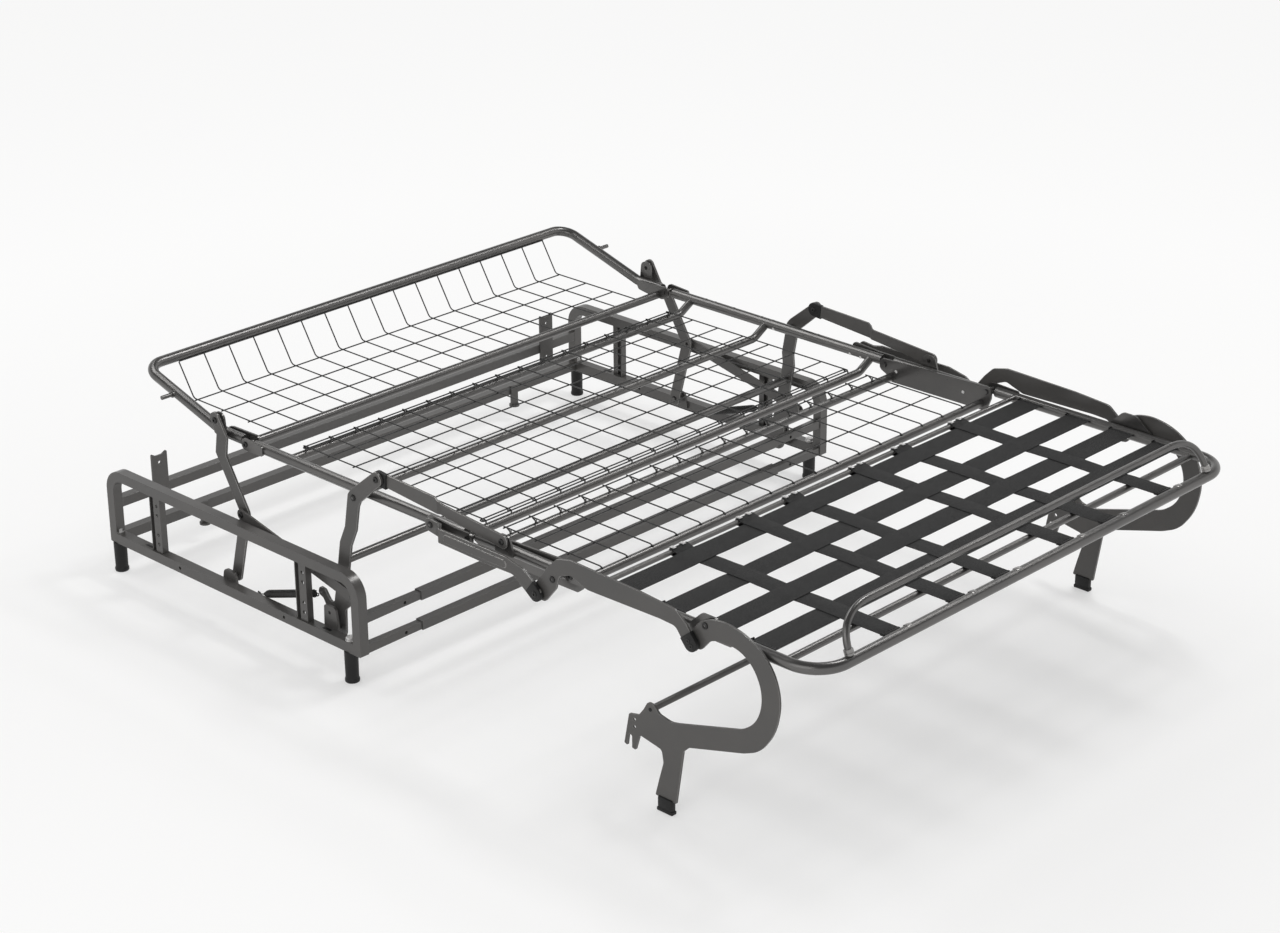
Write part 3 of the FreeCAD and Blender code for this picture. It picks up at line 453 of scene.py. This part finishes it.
def bend_point(t):
    """Point of the hoop's bend, a quadratic curve drawn to its corner."""
    weights = ((1 - t) ** 2, 2 * t * (1 - t), t ** 2)
    return tuple(sum(w * p[i] for w, p in zip(weights, HOOP_BEND)) for i in range(3))


half_hoop = [HOOP_FOOT] + [bend_point(k / BEND_STEPS) for k in range(BEND_STEPS + 1)]
hoop = half_hoop + [(-x, y, z) for x, y, z in reversed(half_hoop)]
wires("hoop_tube", [hoop], HOOP_R, "foot_section", TUBE, ("mattress_hoop",), resolution=6)
collars = bmesh.new()
for side in BOTH:
    lathe(collars, (side * HOOP_X, COLLAR_Y, COLLAR_Z), COLLAR_AXIS, COLLAR, steps=28)
# The collars wear the lighter paint of the edges: a painted highlight
mesh_piece("hoop_collars", collars, "foot_section", EDGE_HIGHLIGHT, angle=30.0)

# Legs with a flared foot, and the zinc bolts that hold them

LEG_Y = (("front", 218.0), ("rear", 1061.0))
LEG = (
    (0, 76), (15.2, 76), (15.8, 75.2), (15.8, 60), (15.3, 13), (15.5, 10.5),
    (16.5, 8.6), (17.0, 7), (17.0, 2.5), (16.2, 0.6), (14, 0), (0, 0),
)
WASHER_HIGH = 1.6
WASHER = ((0, 0), (11.5, 0), (11.5, 1.4), (11, WASHER_HIGH), (0, WASHER_HIGH))
HEX = ((0, 0), (10.2, 0), (10.2, 6.4), (9.0, 7.6), (0, 7.6))

bolts = bmesh.new()
for label, side in SIDES:
    x = side * BASE_X
    for end, y in LEG_Y:
        leg = bmesh.new()
        lathe(leg, (x, y, 0), UP, LEG, steps=40)
        node = "leg_%s_%s" % (end, label)
        mesh_piece(node + "_turned", leg, "base", PLASTIC, (node,))
        lathe(bolts, (x, y, RAIL_TOP), UP, WASHER, steps=28)
        lathe(bolts, (x, y, RAIL_TOP + WASHER_HIGH), UP, HEX, steps=6, twist=rng.uniform(0, 1))
mesh_piece("leg_bolts", bolts, "base", ZINC, angle=25.0)

# Sickle feet: plastic shoes with a sole, pushed over the plates' ends

SHOE_X, SHOE_Y = 713.5, -685.0
SHOE, SOLE = (13, 40, 33), (15, 43, 8)

for label, side in SIDES:
    shoe = bmesh.new()
    rounded_box(shoe, (side * SHOE_X, SHOE_Y, SHOE[2] / 2.0), SHOE, edge=3.0)
    rounded_box(shoe, (side * SHOE_X, SHOE_Y, SOLE[2] / 2.0), SOLE, edge=2.0)
    mesh_piece("sickle_shoe_" + label, shoe, "sickle_legs", PLASTIC, ("sickle_foot_" + label,))

# Wire mesh of round wires: lanes along the bed, rows welded under them, hooked to the cross tubes

MESH_HALF, LANE_GAPS = 600.0, 16
LANES = [-MESH_HALF + 2.0 * MESH_HALF * i / LANE_GAPS for i in range(LANE_GAPS + 1)]
WIRE_R = 1.65
LANE_RISE, ROW_DROP, ROW_PAST = 0.9 * WIRE_R, 1.8 * WIRE_R, 3.0
PIN_R, PIN_STEPS = 6.0, 6
SEAT_Z, MID_Z, HEAD_Z = 414.0, 416.5, 420.0
SEAT_FROM, SEAT_TO, SEAT_ROWS = -44.0, 555.0, 8
MID_FROM, MID_TO, MID_ROWS = -395.0, -104.0, 4
HEAD_FROM, HEAD_TO, HEAD_ROWS = 655.0, 950.0, 4
RISE_END, TOP_WIRE = (1007.0, 501.0), (1005.5, 502.5)
END_HOOK = ((-9.0, -4.5), (1.5, -3.4), (1.5, -0.6), (-4.0, 0.0))
EYE = ((0, 0), (3.6, 0), (3.4, 1.2), (0, 1.4))
HEAD_EYE = ((0, 0), (3.6, 0), (3.4, 1.6), (0, 1.8))


def lanes(*lines):
    """The same (y, z) lines in every lane."""
    return [[(x, y, z) for y, z in line] for x in LANES for line in lines]


def rows(y_from, y_to, count, top):
    """Evenly spread wires across, without the first."""
    spots = [y_from + (y_to - y_from) * i / (count - 1) for i in range(1, count)]
    half, z = MESH_HALF + ROW_PAST, top - ROW_DROP
    return [[(-half, y, z), (half, y, z)] for y in spots]


def hairpin(y, top, away):
    """A doubled end wire: two runs across joined by round ends."""
    bend = []
    for i in range(PIN_STEPS + 1):
        a = math.pi * i / PIN_STEPS
        past, back = PIN_R * math.sin(a), PIN_R - PIN_R * math.cos(a)
        bend.append((MESH_HALF + past, y + away * back, top - ROW_DROP))
    path = bend + [(-x, y, z) for x, y, z in reversed(bend)]
    return path + [path[0]]


top = SEAT_Z + LANE_RISE
lane = [(SEAT_FROM - past, top + rise) for past, rise in END_HOOK]
lane += [(SEAT_TO + past, top + rise) for past, rise in reversed(END_HOOK)]
paths = lanes(lane) + rows(SEAT_FROM, SEAT_TO, SEAT_ROWS, top)[:-1]
paths += [hairpin(SEAT_FROM, top, 1), hairpin(SEAT_TO, top, -1)]
wires("seat_wires", paths, WIRE_R, "seat_section", WIRE, ("seat_mesh",))

top = MID_Z + LANE_RISE
lane = [(MID_TO + 1.5, top), (MID_FROM + 6.0, top), (MID_FROM, top - 1.5), (MID_FROM - 2.0, top - 6.0)]
stub = [(MID_TO - 9.0, top - 1.0), (MID_TO - 16.0, top - 5.0), (MID_TO - 20.0, top - 12.0)]
paths = lanes(lane, stub) + rows(MID_FROM, MID_TO, MID_ROWS, top)
wires("middle_wires", paths, WIRE_R, "middle_section", WIRE, ("middle_mesh",))

top = HEAD_Z + LANE_RISE
lane = [(HEAD_FROM + 6.0, top - 1.0), (HEAD_FROM + 14.0, top), (HEAD_TO, top)]
paths = lanes(lane) + rows(HEAD_FROM, HEAD_TO, HEAD_ROWS, top)
wires("head_wires", paths, WIRE_R, "head_section", WIRE, ("head_mesh",))
lane = [(HEAD_TO, top), (HEAD_TO + 6.0, top + 1.0), (HEAD_TO + 11.0, top + 5.0), RISE_END]
paths = lanes(lane) + [[(-MESH_HALF, *TOP_WIRE), (MESH_HALF, *TOP_WIRE)]]
wires("head_rise_wires", paths, WIRE_R, "head_section", WIRE, ("head_mesh_rise",))

# Dark discs where the lanes meet the cross tubes: painted shade of the holes that the wires hook into
head_eyes, middle_eyes = bmesh.new(), bmesh.new()
for x in LANES:
    lathe(head_eyes, (x, HEAD_FROM + 8.2, HEAD_Z + 1.2), (0, 1, 0.25), HEAD_EYE, steps=14)
    lathe(middle_eyes, (x, MID_FROM - 1.0, MID_Z - 2.6), (0, -0.1, 1), EYE, steps=14)
    lathe(middle_eyes, (x, MID_TO - 20.0, MID_Z - 8.9), UP, EYE, steps=14)
mesh_piece("head_wire_eye_shade", head_eyes, "head_section", PAINTED_SHADE)
mesh_piece("middle_wire_eye_shade", middle_eyes, "middle_section", PAINTED_SHADE)

# Webbing: six straps along the foot section woven through four across it

LONG_X, LONG_HALF = (-462.0, -258.0, -110.0, 110.0, 258.0, 462.0), 25.0
CROSS_Y, CROSS_HALF = (-536.0, -671.0, -792.0, -909.0), 31.0
STRAP_Z, LIFT, THICK = 442.4, 0.9, 1.4
STRAP_STEP, STRAP_EASE, STRAP_FLAT = 6.0, 26.0, 0.7
EDGE_WIDE, EDGE_THIN = 1.2, 0.35
ROD_Y, ROD_Z, FOOT_Y = -485.0, 440.5, -1066.0
WRAP_R, WRAP_STEPS = 7.0, 8
TAIL_BACK, TAIL_DROP, WRAP_RUN = 34.0, 7.6, 18.0
LONG_LAST, LONG_END, CROSS_END = -1050.0, -1053.0, 677.0


def ribbon(bm, points, half, across):
    """A strap of even thickness along its middle line, thinner at its selvedges."""
    full, thin, inner = THICK / 2.0, THICK / 2.0 - EDGE_THIN, half - EDGE_WIDE
    section = [(-half, thin), (-inner, full), (inner, full), (half, thin)]
    section += [(reach, -rise) for reach, rise in reversed(section)]
    rings = []
    for i, spot in enumerate(points):
        run = points[min(i + 1, len(points) - 1)] - points[max(i - 1, 0)]
        up = across.cross(run).normalized()
        rings.append([bm.verts.new(mm(*(spot + across * reach + up * rise))) for reach, rise in section])
    for low, high in zip(rings, rings[1:]):
        for k in range(len(section)):
            n = (k + 1) % len(section)
            bm.faces.new((low[k], low[n], high[n], high[k]))
    bm.faces.new(rings[0])
    bm.faces.new(list(reversed(rings[-1])))


def wave(crossings, half, run, sign):
    """Height of a strap along its run: over or under each strap it meets."""
    z = 0.0
    flat, reach = half * STRAP_FLAT, half + STRAP_EASE
    for k, spot in enumerate(crossings):
        gap = abs(run - spot)
        if gap < reach:
            way = 1 if (k + sign) % 2 else -1
            ease = 0.5 + 0.5 * math.cos(math.pi * max(0.0, gap - flat) / (reach - flat))
            z += way * LIFT * ease
    return STRAP_Z + z


web = bmesh.new()
for i, x in enumerate(LONG_X):
    points = [Vector((x, ROD_Y - TAIL_BACK, ROD_Z - TAIL_DROP))]
    for k in range(WRAP_STEPS + 1):
        a = -math.pi / 2 + math.pi * k / WRAP_STEPS
        points.append(Vector((x, ROD_Y + WRAP_R * math.cos(a), ROD_Z + WRAP_R * math.sin(a))))
    run = ROD_Y - WRAP_RUN
    while run > LONG_LAST:
        points.append(Vector((x, run, wave(CROSS_Y, CROSS_HALF, run, i))))
        run -= STRAP_STEP
    points.append(Vector((x, LONG_END, STRAP_Z)))
    ribbon(web, points, LONG_HALF, Vector((1, 0, 0)))
mesh_piece("straps_long", web, "foot_section", WEB_LONG, ("strap_web",))

web = bmesh.new()
for i, y in enumerate(CROSS_Y):
    points = []
    run = -CROSS_END
    while run <= CROSS_END:
        points.append(Vector((run, y, wave(LONG_X, LONG_HALF, run, i + 1))))
        run += STRAP_STEP
    ribbon(web, points, CROSS_HALF, Vector((0, 1, 0)))
mesh_piece("straps_cross", web, "foot_section", WEB_CROSS)

# Clips at the straps' ends: a bar, its teeth on the strap and a tongue at one corner

BAR_Z, TEETH_Z, TONGUE_Z = STRAP_Z - 0.4, STRAP_Z + 0.6, STRAP_Z + 1.6
LONG_BAR_Y, LONG_TEETH_Y, LONG_TONGUE_Y, LONG_TONGUE_X = -1051.5, -1048.0, -1049.5, -25.5
LONG_TEETH = [-21.0 + 7.0 * k for k in range(7)]
LONG_BAR, LONG_TOOTH, LONG_TONGUE = (50, 6, 4.4), (3.4, 5.0, 2.6), (3.2, 11, 6.0)
CROSS_BAR_X, CROSS_TEETH_X, CROSS_TONGUE_X, CROSS_TONGUE_Y = 675.5, 672.0, 673.5, 31.0
CROSS_TEETH = [-27.0 + 6.75 * k for k in range(9)]
CROSS_BAR, CROSS_TOOTH, CROSS_TONGUE = (6, 62, 4.4), (5.0, 3.2, 2.6), (11, 3.2, 6.0)

clips = bmesh.new()
for x in LONG_X:
    rounded_box(clips, (x, LONG_BAR_Y, BAR_Z), LONG_BAR, edge=1.4)
    for tooth in LONG_TEETH:
        rounded_box(clips, (x + tooth, LONG_TEETH_Y, TEETH_Z), LONG_TOOTH, edge=0.8)
    rounded_box(clips, (x + LONG_TONGUE_X, LONG_TONGUE_Y, TONGUE_Z), LONG_TONGUE, edge=1.0)
for y in CROSS_Y:
    for side in BOTH:
        rounded_box(clips, (side * CROSS_BAR_X, y, BAR_Z), CROSS_BAR, edge=1.4)
        for tooth in CROSS_TEETH:
            rounded_box(clips, (side * CROSS_TEETH_X, y + tooth, TEETH_Z), CROSS_TOOTH, edge=0.8)
        rounded_box(clips, (side * CROSS_TONGUE_X, y + CROSS_TONGUE_Y, TONGUE_Z), CROSS_TONGUE, edge=1.0)
mesh_piece("strap_clips", clips, "foot_section", PLASTIC)

# Saddles on the foot tube and hooks on the strap rod, beside the long straps

SADDLE_X, SADDLE_Z, SADDLE_LIP_Z = 36.0, 448.0, 445.0
SADDLE, SADDLE_LIP = (16.0, 11.0, 2.4), (13.0, 5.0, 4.0)
HOOK_X, HOOK_TOP, HOOK_SIDE = (-17.0, 12.0), (9.0, 11.0, 1.8), (9.0, 1.8, 8.0)

saddles, hooks = bmesh.new(), bmesh.new()
for x in LONG_X:
    rounded_box(saddles, (x + SADDLE_X, FOOT_Y + 1.0, SADDLE_Z), SADDLE, edge=1.0)
    rounded_box(saddles, (x + SADDLE_X, FOOT_Y + 8.0, SADDLE_LIP_Z), SADDLE_LIP, edge=1.0)
    for reach in HOOK_X:
        rounded_box(hooks, (x + reach, ROD_Y + 1.0, ROD_Z + 8.6), HOOK_TOP, edge=0.6)
        rounded_box(hooks, (x + reach, ROD_Y + 7.6, ROD_Z + 5.0), HOOK_SIDE, edge=0.6)
# The saddles wear the lighter paint of the edges: a painted highlight on the foot tube beside each strap
mesh_piece("strap_saddles", saddles, "foot_section", EDGE_HIGHLIGHT)
mesh_piece("strap_hooks", hooks, "foot_section", ZINC)

# Balance springs as close coils with hooked ends and a plastic eye

SPRING_X, SPRING_WIRE = 750.0, 1.45
COIL_R, COIL_TURNS, COIL_STEPS = 8.2, 56, 10
COIL_END, SHANK = 26.0, 22.0
CURL_R, CURL_SHIFT, CURL_STEPS = 6.5, 3.0, 6
EYE_BACK, EYE_HALF = 14.0, 3.0
SPRING_EYE = ((4.2, 0), (8.4, 0), (9.4, 1.2), (9.4, 4.8), (8.4, 6), (4.2, 6), (4.2, 0))


def curl(pivot, along, third):
    """Three quarters of a ring round a pivot, from the side away from the coil."""
    path = []
    for i in range(CURL_STEPS + 1):
        a = math.pi * 1.5 * i / CURL_STEPS
        path.append(pivot + along * (CURL_SHIFT - CURL_R * math.cos(a)) + third * (CURL_R * math.sin(a)))
    return path


def spring_path(start, end, over):
    """Middle line of the wire: a hook, the coil, which grows out of the shanks, and a hook."""
    along = (end - start).normalized()
    third = along.cross(over)
    length = (end - start).length - 2.0 * COIL_END
    path = curl(start, along, third)[::-1] + [start + along * SHANK]
    count = COIL_TURNS * COIL_STEPS
    for i in range(count + 1):
        t = i / count
        a = 2.0 * math.pi * COIL_TURNS * t
        radius = COIL_R * min(1.0, 0.25 + 8.0 * min(t, 1.0 - t))
        aside = (over * math.cos(a) + third * math.sin(a)) * radius
        path.append(start + along * (COIL_END + length * t) + aside)
    return path + [end - along * SHANK] + curl(end, -along, third)


for label, side in SIDES:
    start = Vector((side * SPRING_X, *SPRING_ANCHOR))
    end = Vector((side * SPRING_X, *SPRING_LEVER))
    over = Vector((side, 0, 0))
    path = spring_path(start, end, over)
    node = "spring_" + label
    wires("spring_coil_" + label, [path], SPRING_WIRE, "springs", SPRING, (node,), resolution=2)
    eye = bmesh.new()
    centre = end - (end - start).normalized() * EYE_BACK
    lathe(eye, centre - over * EYE_HALF, over, SPRING_EYE, steps=28)
    mesh_piece("spring_eye_" + label, eye, "springs", PLASTIC)

# Rivets with a hexagon socket at the pivots

HEAD = (
    (0, -0.5), (7.4, -0.5), (7.6, 0.6), (7.2, 1.9), (5.9, 3.0),
    (4.2, 3.4), (3.2, 3.4), (2.8, 3.0), (2.6, 1.2), (0, 1.2),
)
# A dark hexagon in the head's hollow: painted shade of the socket
SOCKET = ((0, 1.25), (2.7, 1.25), (2.75, 1.6), (0, 1.6))
# For each body: pivot, distance from the middle, facing out (1) or in (-1), scale
HEADS = {
    "front_arms": ((ARM_CRANK, 728.0, 1, 1.0),),
    "seat_section": (
        (ARM_SEAT, 728.0, 1, 1.05),
        (LOWER_SEAT, 720.0, 1, 1.0),
        (HEAD_HINGE, 706.0, 1, 0.95),
        (MID_HINGE, 706.0, 1, 0.95),
    ),
    "middle_section": (
        (LEVER_MID, 726.0, 1, 1.0),
        (FOOT_HINGE, 672.0, -1, 0.9),
        (MID_HINGE, 672.0, -1, 0.9),
    ),
    "foot_section": ((SICKLE_FOOT, 716.0, 1, 1.0), (FOOT_HINGE, 706.0, 1, 0.95)),
    "upper_links": ((UPPER_MID, 713.0, 1, 1.0), (ARM_CRANK, 711.2, -1, 0.8)),
    "rear_arms": ((REAR_HEAD, 719.0, 1, 1.05),),
    "tie_bars": ((REAR_TIE, 750.0, 1, 1.0), (ARM_TIE, 750.0, 1, 0.9)),
    "base": ((ARM_BASE, 733.0, -1, 1.0), (REAR_BASE, 733.0, -1, 1.0)),
}


def scaled(profile, factor):
    return [(radius * factor, height * factor) for radius, height in profile]


for body, spots in HEADS.items():
    heads, sockets = bmesh.new(), bmesh.new()
    for side in BOTH:
        for pivot, x, way, factor in spots:
            spot, axis = (side * x, *pivot), (side * way, 0, 0)
            lathe(heads, spot, axis, scaled(HEAD, factor), steps=26)
            lathe(sockets, spot, axis, scaled(SOCKET, factor), steps=6, twist=rng.uniform(0, 1))
    mesh_piece("rivets_" + body, heads, body, RIVET, angle=30.0)
    mesh_piece("socket_shade_" + body, sockets, body, PAINTED_SHADE)

# Dark discs at the sunk ends of the cross tube in the sickles' lugs: painted shade of the recess

LUG_X, LUG = 716.5, (-643.0, 220.0)
LUG_HOLE = ((0, -0.4), (4.2, -0.4), (4.2, 0.3), (0, 0.4))

ends = bmesh.new()
for side in BOTH:
    lathe(ends, (side * LUG_X, *LUG), (side, 0, 0), LUG_HOLE, steps=24)
mesh_piece("sickle_lug_shade", ends, "sickle_legs", PAINTED_SHADE)

# Bright buttons on the inner faces of the seat's tubes and of the middle section's plates

BUTTON = ((0, -0.6), (3.9, -0.6), (4.0, 0.4), (3.4, 1.4), (2.0, 2.0), (0, 2.1))
# For each body: y, z, distance from the middle, tilt
BUTTONS = {
    "seat_section": ((263.0, 421.0, 678.6, -0.42), (13.0, 420.0, 679.0, -0.5), (-20.0, 419.0, 679.6, -0.55)),
    "middle_section": ((-138.0, 415.0, 672.0, 0.0), (-342.0, 418.0, 672.0, 0.0)),
}

for body, spots in BUTTONS.items():
    buttons = bmesh.new()
    for side in BOTH:
        for y, z, x, tilt in spots:
            lathe(buttons, (side * x, y, z), (-side, 0, tilt), BUTTON, steps=20)
    mesh_piece("buttons_" + body, buttons, body, ZINC, angle=30.0)

# Plastic spacers at the cranks and shoes over the ends of links and levers

SPACER_X = 717.2
SPACER = ((0, 0), (15.5, 0), (16.5, 0.8), (16.5, 3.8), (15.5, 4.6), (0, 4.6))
CAP_STEPS = 12
CRANK_CAP_IN, CRANK_CAP_OUT, CRANK_CAP_HALF, CRANK_CAP_LONG = 711.0, 721.0, 17.5, 24.0
CAP_IN, CAP_OUT, CAP_HALF, CAP_LONG = -2.0, 8.5, 17.0, 21.0
SCREW_OUT = 8.0
# Name, body, pivot, a point that the bar runs to, distance from the middle, screws along the bar, their scale
CAPS = (
    ("link_caps", "lower_links", LOWER_LEVER, (-285.0, 425.0), 731.0, (0.0,), 0.85),
    ("lever_caps", "levers", LEVER_SICKLE, (-728.0, 456.0), 721.0, (-5.0, 7.5), 0.68),
)


def cap(bm, side, spot, x_low, x_high, toward, half, length):
    """A plastic shoe over a bar's end: round past the pin, square where the bar runs out."""
    angle = math.atan2(toward[1] - spot[1], toward[0] - spot[0])
    run = Vector((0, math.cos(angle), math.sin(angle)))
    over = Vector((0, -run.z, run.y))
    outline = []
    for i in range(CAP_STEPS + 1):
        a = math.pi / 2 + math.pi * i / CAP_STEPS
        outline.append((math.cos(a) * half, math.sin(a) * half))
    outline += [(length, -half), (length, half)]
    rings = []
    for x, shrink in ((x_low, 1.2), (x_low + 1.2, 0), (x_high - 1.6, 0), (x_high - 0.5, 0.5), (x_high, 1.8)):
        k = 1.0 - shrink / half
        centre = Vector((side * x, *spot))
        rings.append([bm.verts.new(mm(*(centre + run * (u * k) + over * (v * k)))) for u, v in outline])
    for low, high in zip(rings, rings[1:]):
        for i in range(len(outline)):
            j = (i + 1) % len(outline)
            bm.faces.new((low[i], low[j], high[j], high[i]))
    bm.faces.new(rings[0])
    bm.faces.new(list(reversed(rings[-1])))


spacers, caps = bmesh.new(), bmesh.new()
for side in BOTH:
    lathe(spacers, (side * SPACER_X, *ARM_CRANK), (side, 0, 0), SPACER, steps=36)
    cap(caps, side, ARM_CRANK, CRANK_CAP_IN, CRANK_CAP_OUT, UPPER_MID, CRANK_CAP_HALF, CRANK_CAP_LONG)
mesh_piece("crank_spacers", spacers, "front_arms", PLASTIC)
mesh_piece("crank_caps", caps, "upper_links", PLASTIC)
for name, body, pivot, toward, x, screws, factor in CAPS:
    caps, heads = bmesh.new(), bmesh.new()
    run = (Vector(toward) - Vector(pivot)).normalized()
    for side in BOTH:
        cap(caps, side, pivot, x + CAP_IN, x + CAP_OUT, toward, CAP_HALF, CAP_LONG)
        for screw in screws:
            spot = (side * (x + SCREW_OUT), *(Vector(pivot) + run * screw))
            lathe(heads, spot, (side, 0, 0), scaled(HEAD, factor), steps=26)
    mesh_piece(name, caps, body, PLASTIC)
    mesh_piece(name + "_rivets", heads, body, RIVET, angle=30.0)

# Studio, in metres: pale floor and a low white backdrop under a darker ceiling

FLOOR_HALF, FLOOR_DROP = 30.0, 0.0005
FLOOR_TONES = ((0.893, 0.891, 0.888), (0.907, 0.905, 0.902))
FLOOR_GLOW = (0.995, 0.994, 0.992, 1.0)
FLOOR_SHARE = {"From Min": 0.8, "From Max": 3.2, "To Min": 0.42, "To Max": 0.87}
SKY_COLOUR = (1.0, 0.998, 0.994, 1.0)
SKY_SEEN = {"From Min": 0.30, "From Max": 0.60, "To Min": 0.95, "To Max": 0.12}
SKY_LIGHT = 0.54

scene = bpy.context.scene
scene.view_settings.view_transform = "Standard"


def seen_rays(tree):
    """1 for camera, glossy and transmission rays, 0 for the rest."""
    rays = tree.nodes.new("ShaderNodeLightPath")
    last = rays.outputs["Is Camera Ray"]
    for name in ("Is Glossy Ray", "Is Transmission Ray"):
        either = add_node(tree, "ShaderNodeMath", operation="MAXIMUM")
        tree.links.new(last, either.inputs[0])
        tree.links.new(rays.outputs[name], either.inputs[1])
        last = either.outputs[0]
    return last


def floor_material():
    """Pale floor; part of what the eye sees of it is its own light, more so further out."""
    s = Shader("floor_pale")
    colour = s.tones(s.noise(0.35), *FLOOR_TONES)
    s.finish(colour, s.spread(s.noise(3.0), 0.75, 0.85), Specular_IOR_Level=0.1)
    glow = s.add("ShaderNodeEmission", {"Color": FLOOR_GLOW})
    reach = s.add("ShaderNodeVectorMath", operation="LENGTH")
    s.wire(s.coords, reach.inputs[0])
    away = s.add("ShaderNodeMapRange", FLOOR_SHARE, interpolation_type="SMOOTHSTEP")
    s.wire(reach.outputs["Value"], away.inputs["Value"])
    share = s.add("ShaderNodeMath", operation="MULTIPLY")
    s.wire(seen_rays(s.tree), share.inputs[0])
    s.wire(away.outputs["Result"], share.inputs[1])
    mix = s.add("ShaderNodeMixShader")
    s.wire(share.outputs[0], mix.inputs["Fac"])
    s.wire(s.surface.outputs["BSDF"], mix.inputs[1])
    s.wire(glow.outputs["Emission"], mix.inputs[2])
    s.wire(mix.outputs["Shader"], s.tree.nodes["Material Output"].inputs["Surface"])
    return s.material


def lit_world():
    """An even light; seen directly or mirrored, it is white low down and dark above."""
    world = bpy.data.worlds.new("studio")
    world.use_nodes = True
    sky = world.node_tree
    background = sky.nodes["Background"]
    background.inputs["Color"].default_value = SKY_COLOUR
    where = add_node(sky, "ShaderNodeTexCoord")
    height = add_node(sky, "ShaderNodeSeparateXYZ")
    drop = add_node(sky, "ShaderNodeMapRange", SKY_SEEN, interpolation_type="SMOOTHSTEP")
    level = add_node(sky, "ShaderNodeMix", {"A": SKY_LIGHT})
    sky.links.new(where.outputs["Generated"], height.inputs["Vector"])
    sky.links.new(height.outputs["Z"], drop.inputs["Value"])
    sky.links.new(seen_rays(sky), level.inputs["Factor"])
    sky.links.new(drop.outputs["Result"], level.inputs["B"])
    sky.links.new(level.outputs["Result"], background.inputs["Strength"])
    return world


bm = bmesh.new()
bmesh.ops.create_grid(bm, x_segments=2, y_segments=2, size=FLOOR_HALF)
data = bpy.data.meshes.new("studio_floor")
bm.to_mesh(data)
bm.free()
data.materials.append(floor_material())
floor = bpy.data.objects.new("studio_floor", data)
floor.location.z = -FLOOR_DROP
scene.collection.objects.link(floor)
scene.world = lit_world()

# Lamps: a key above on the right, a wide softbox behind, a thin strip further right, weak fill from the left
# Name, watts, place, aim, width, depth
LAMPS = (
    ("softbox_right", 42.0, (1.7, -0.4, 3.7), (0, -0.2, 0.4), 1.1, 0.7),
    ("softbox_back", 50.0, (-0.4, 2.9, 3.7), (0, 0, 0.4), 3.2, 1.0),
    ("strip_right", 22.0, (3.3, -0.7, 3.7), (0, -0.4, 0.4), 3.6, 0.3),
    ("fill", 11.0, (-2.4, -0.9, 1.6), (-0.4, -0.3, 0.3), 2.2, 1.2),
)

for name, watts, spot, aim, width, depth in LAMPS:
    light = bpy.data.lights.new(name, "AREA")
    light.energy = watts
    light.shape = "RECTANGLE"
    light.size = width
    light.size_y = depth
    lamp = bpy.data.objects.new(name, light)
    lamp.location = spot
    lamp.rotation_euler = (Vector(aim) - Vector(spot)).to_track_quat("-Z", "Y").to_euler()
    lamp.visible_camera = False
    scene.collection.objects.link(lamp)

# Camera at the photograph's place

CAM_SPOT = Vector((-4.408, -4.195, 2.961))
CAM_TURN, CAM_DROP, CAM_ROLL = math.radians(45.92), math.radians(23.32), math.radians(-0.45)
FOCAL_PIXELS, IMAGE_WIDTH, SENSOR = 2880.6, 1280.0, 36.0

level_part = math.cos(CAM_DROP)
view = Vector((math.sin(CAM_TURN) * level_part, math.cos(CAM_TURN) * level_part, -math.sin(CAM_DROP)))
lens = bpy.data.cameras.new("camera")
lens.sensor_fit = "HORIZONTAL"
lens.sensor_width = SENSOR
lens.lens = FOCAL_PIXELS / IMAGE_WIDTH * SENSOR
lens.clip_end = 100.0
camera = bpy.data.objects.new("camera", lens)
camera.location = CAM_SPOT
camera.rotation_mode = "QUATERNION"
camera.rotation_quaternion = view.to_track_quat("-Z", "Y") @ Euler((0, 0, CAM_ROLL)).to_quaternion()
scene.collection.objects.link(camera)
scene.camera = camera
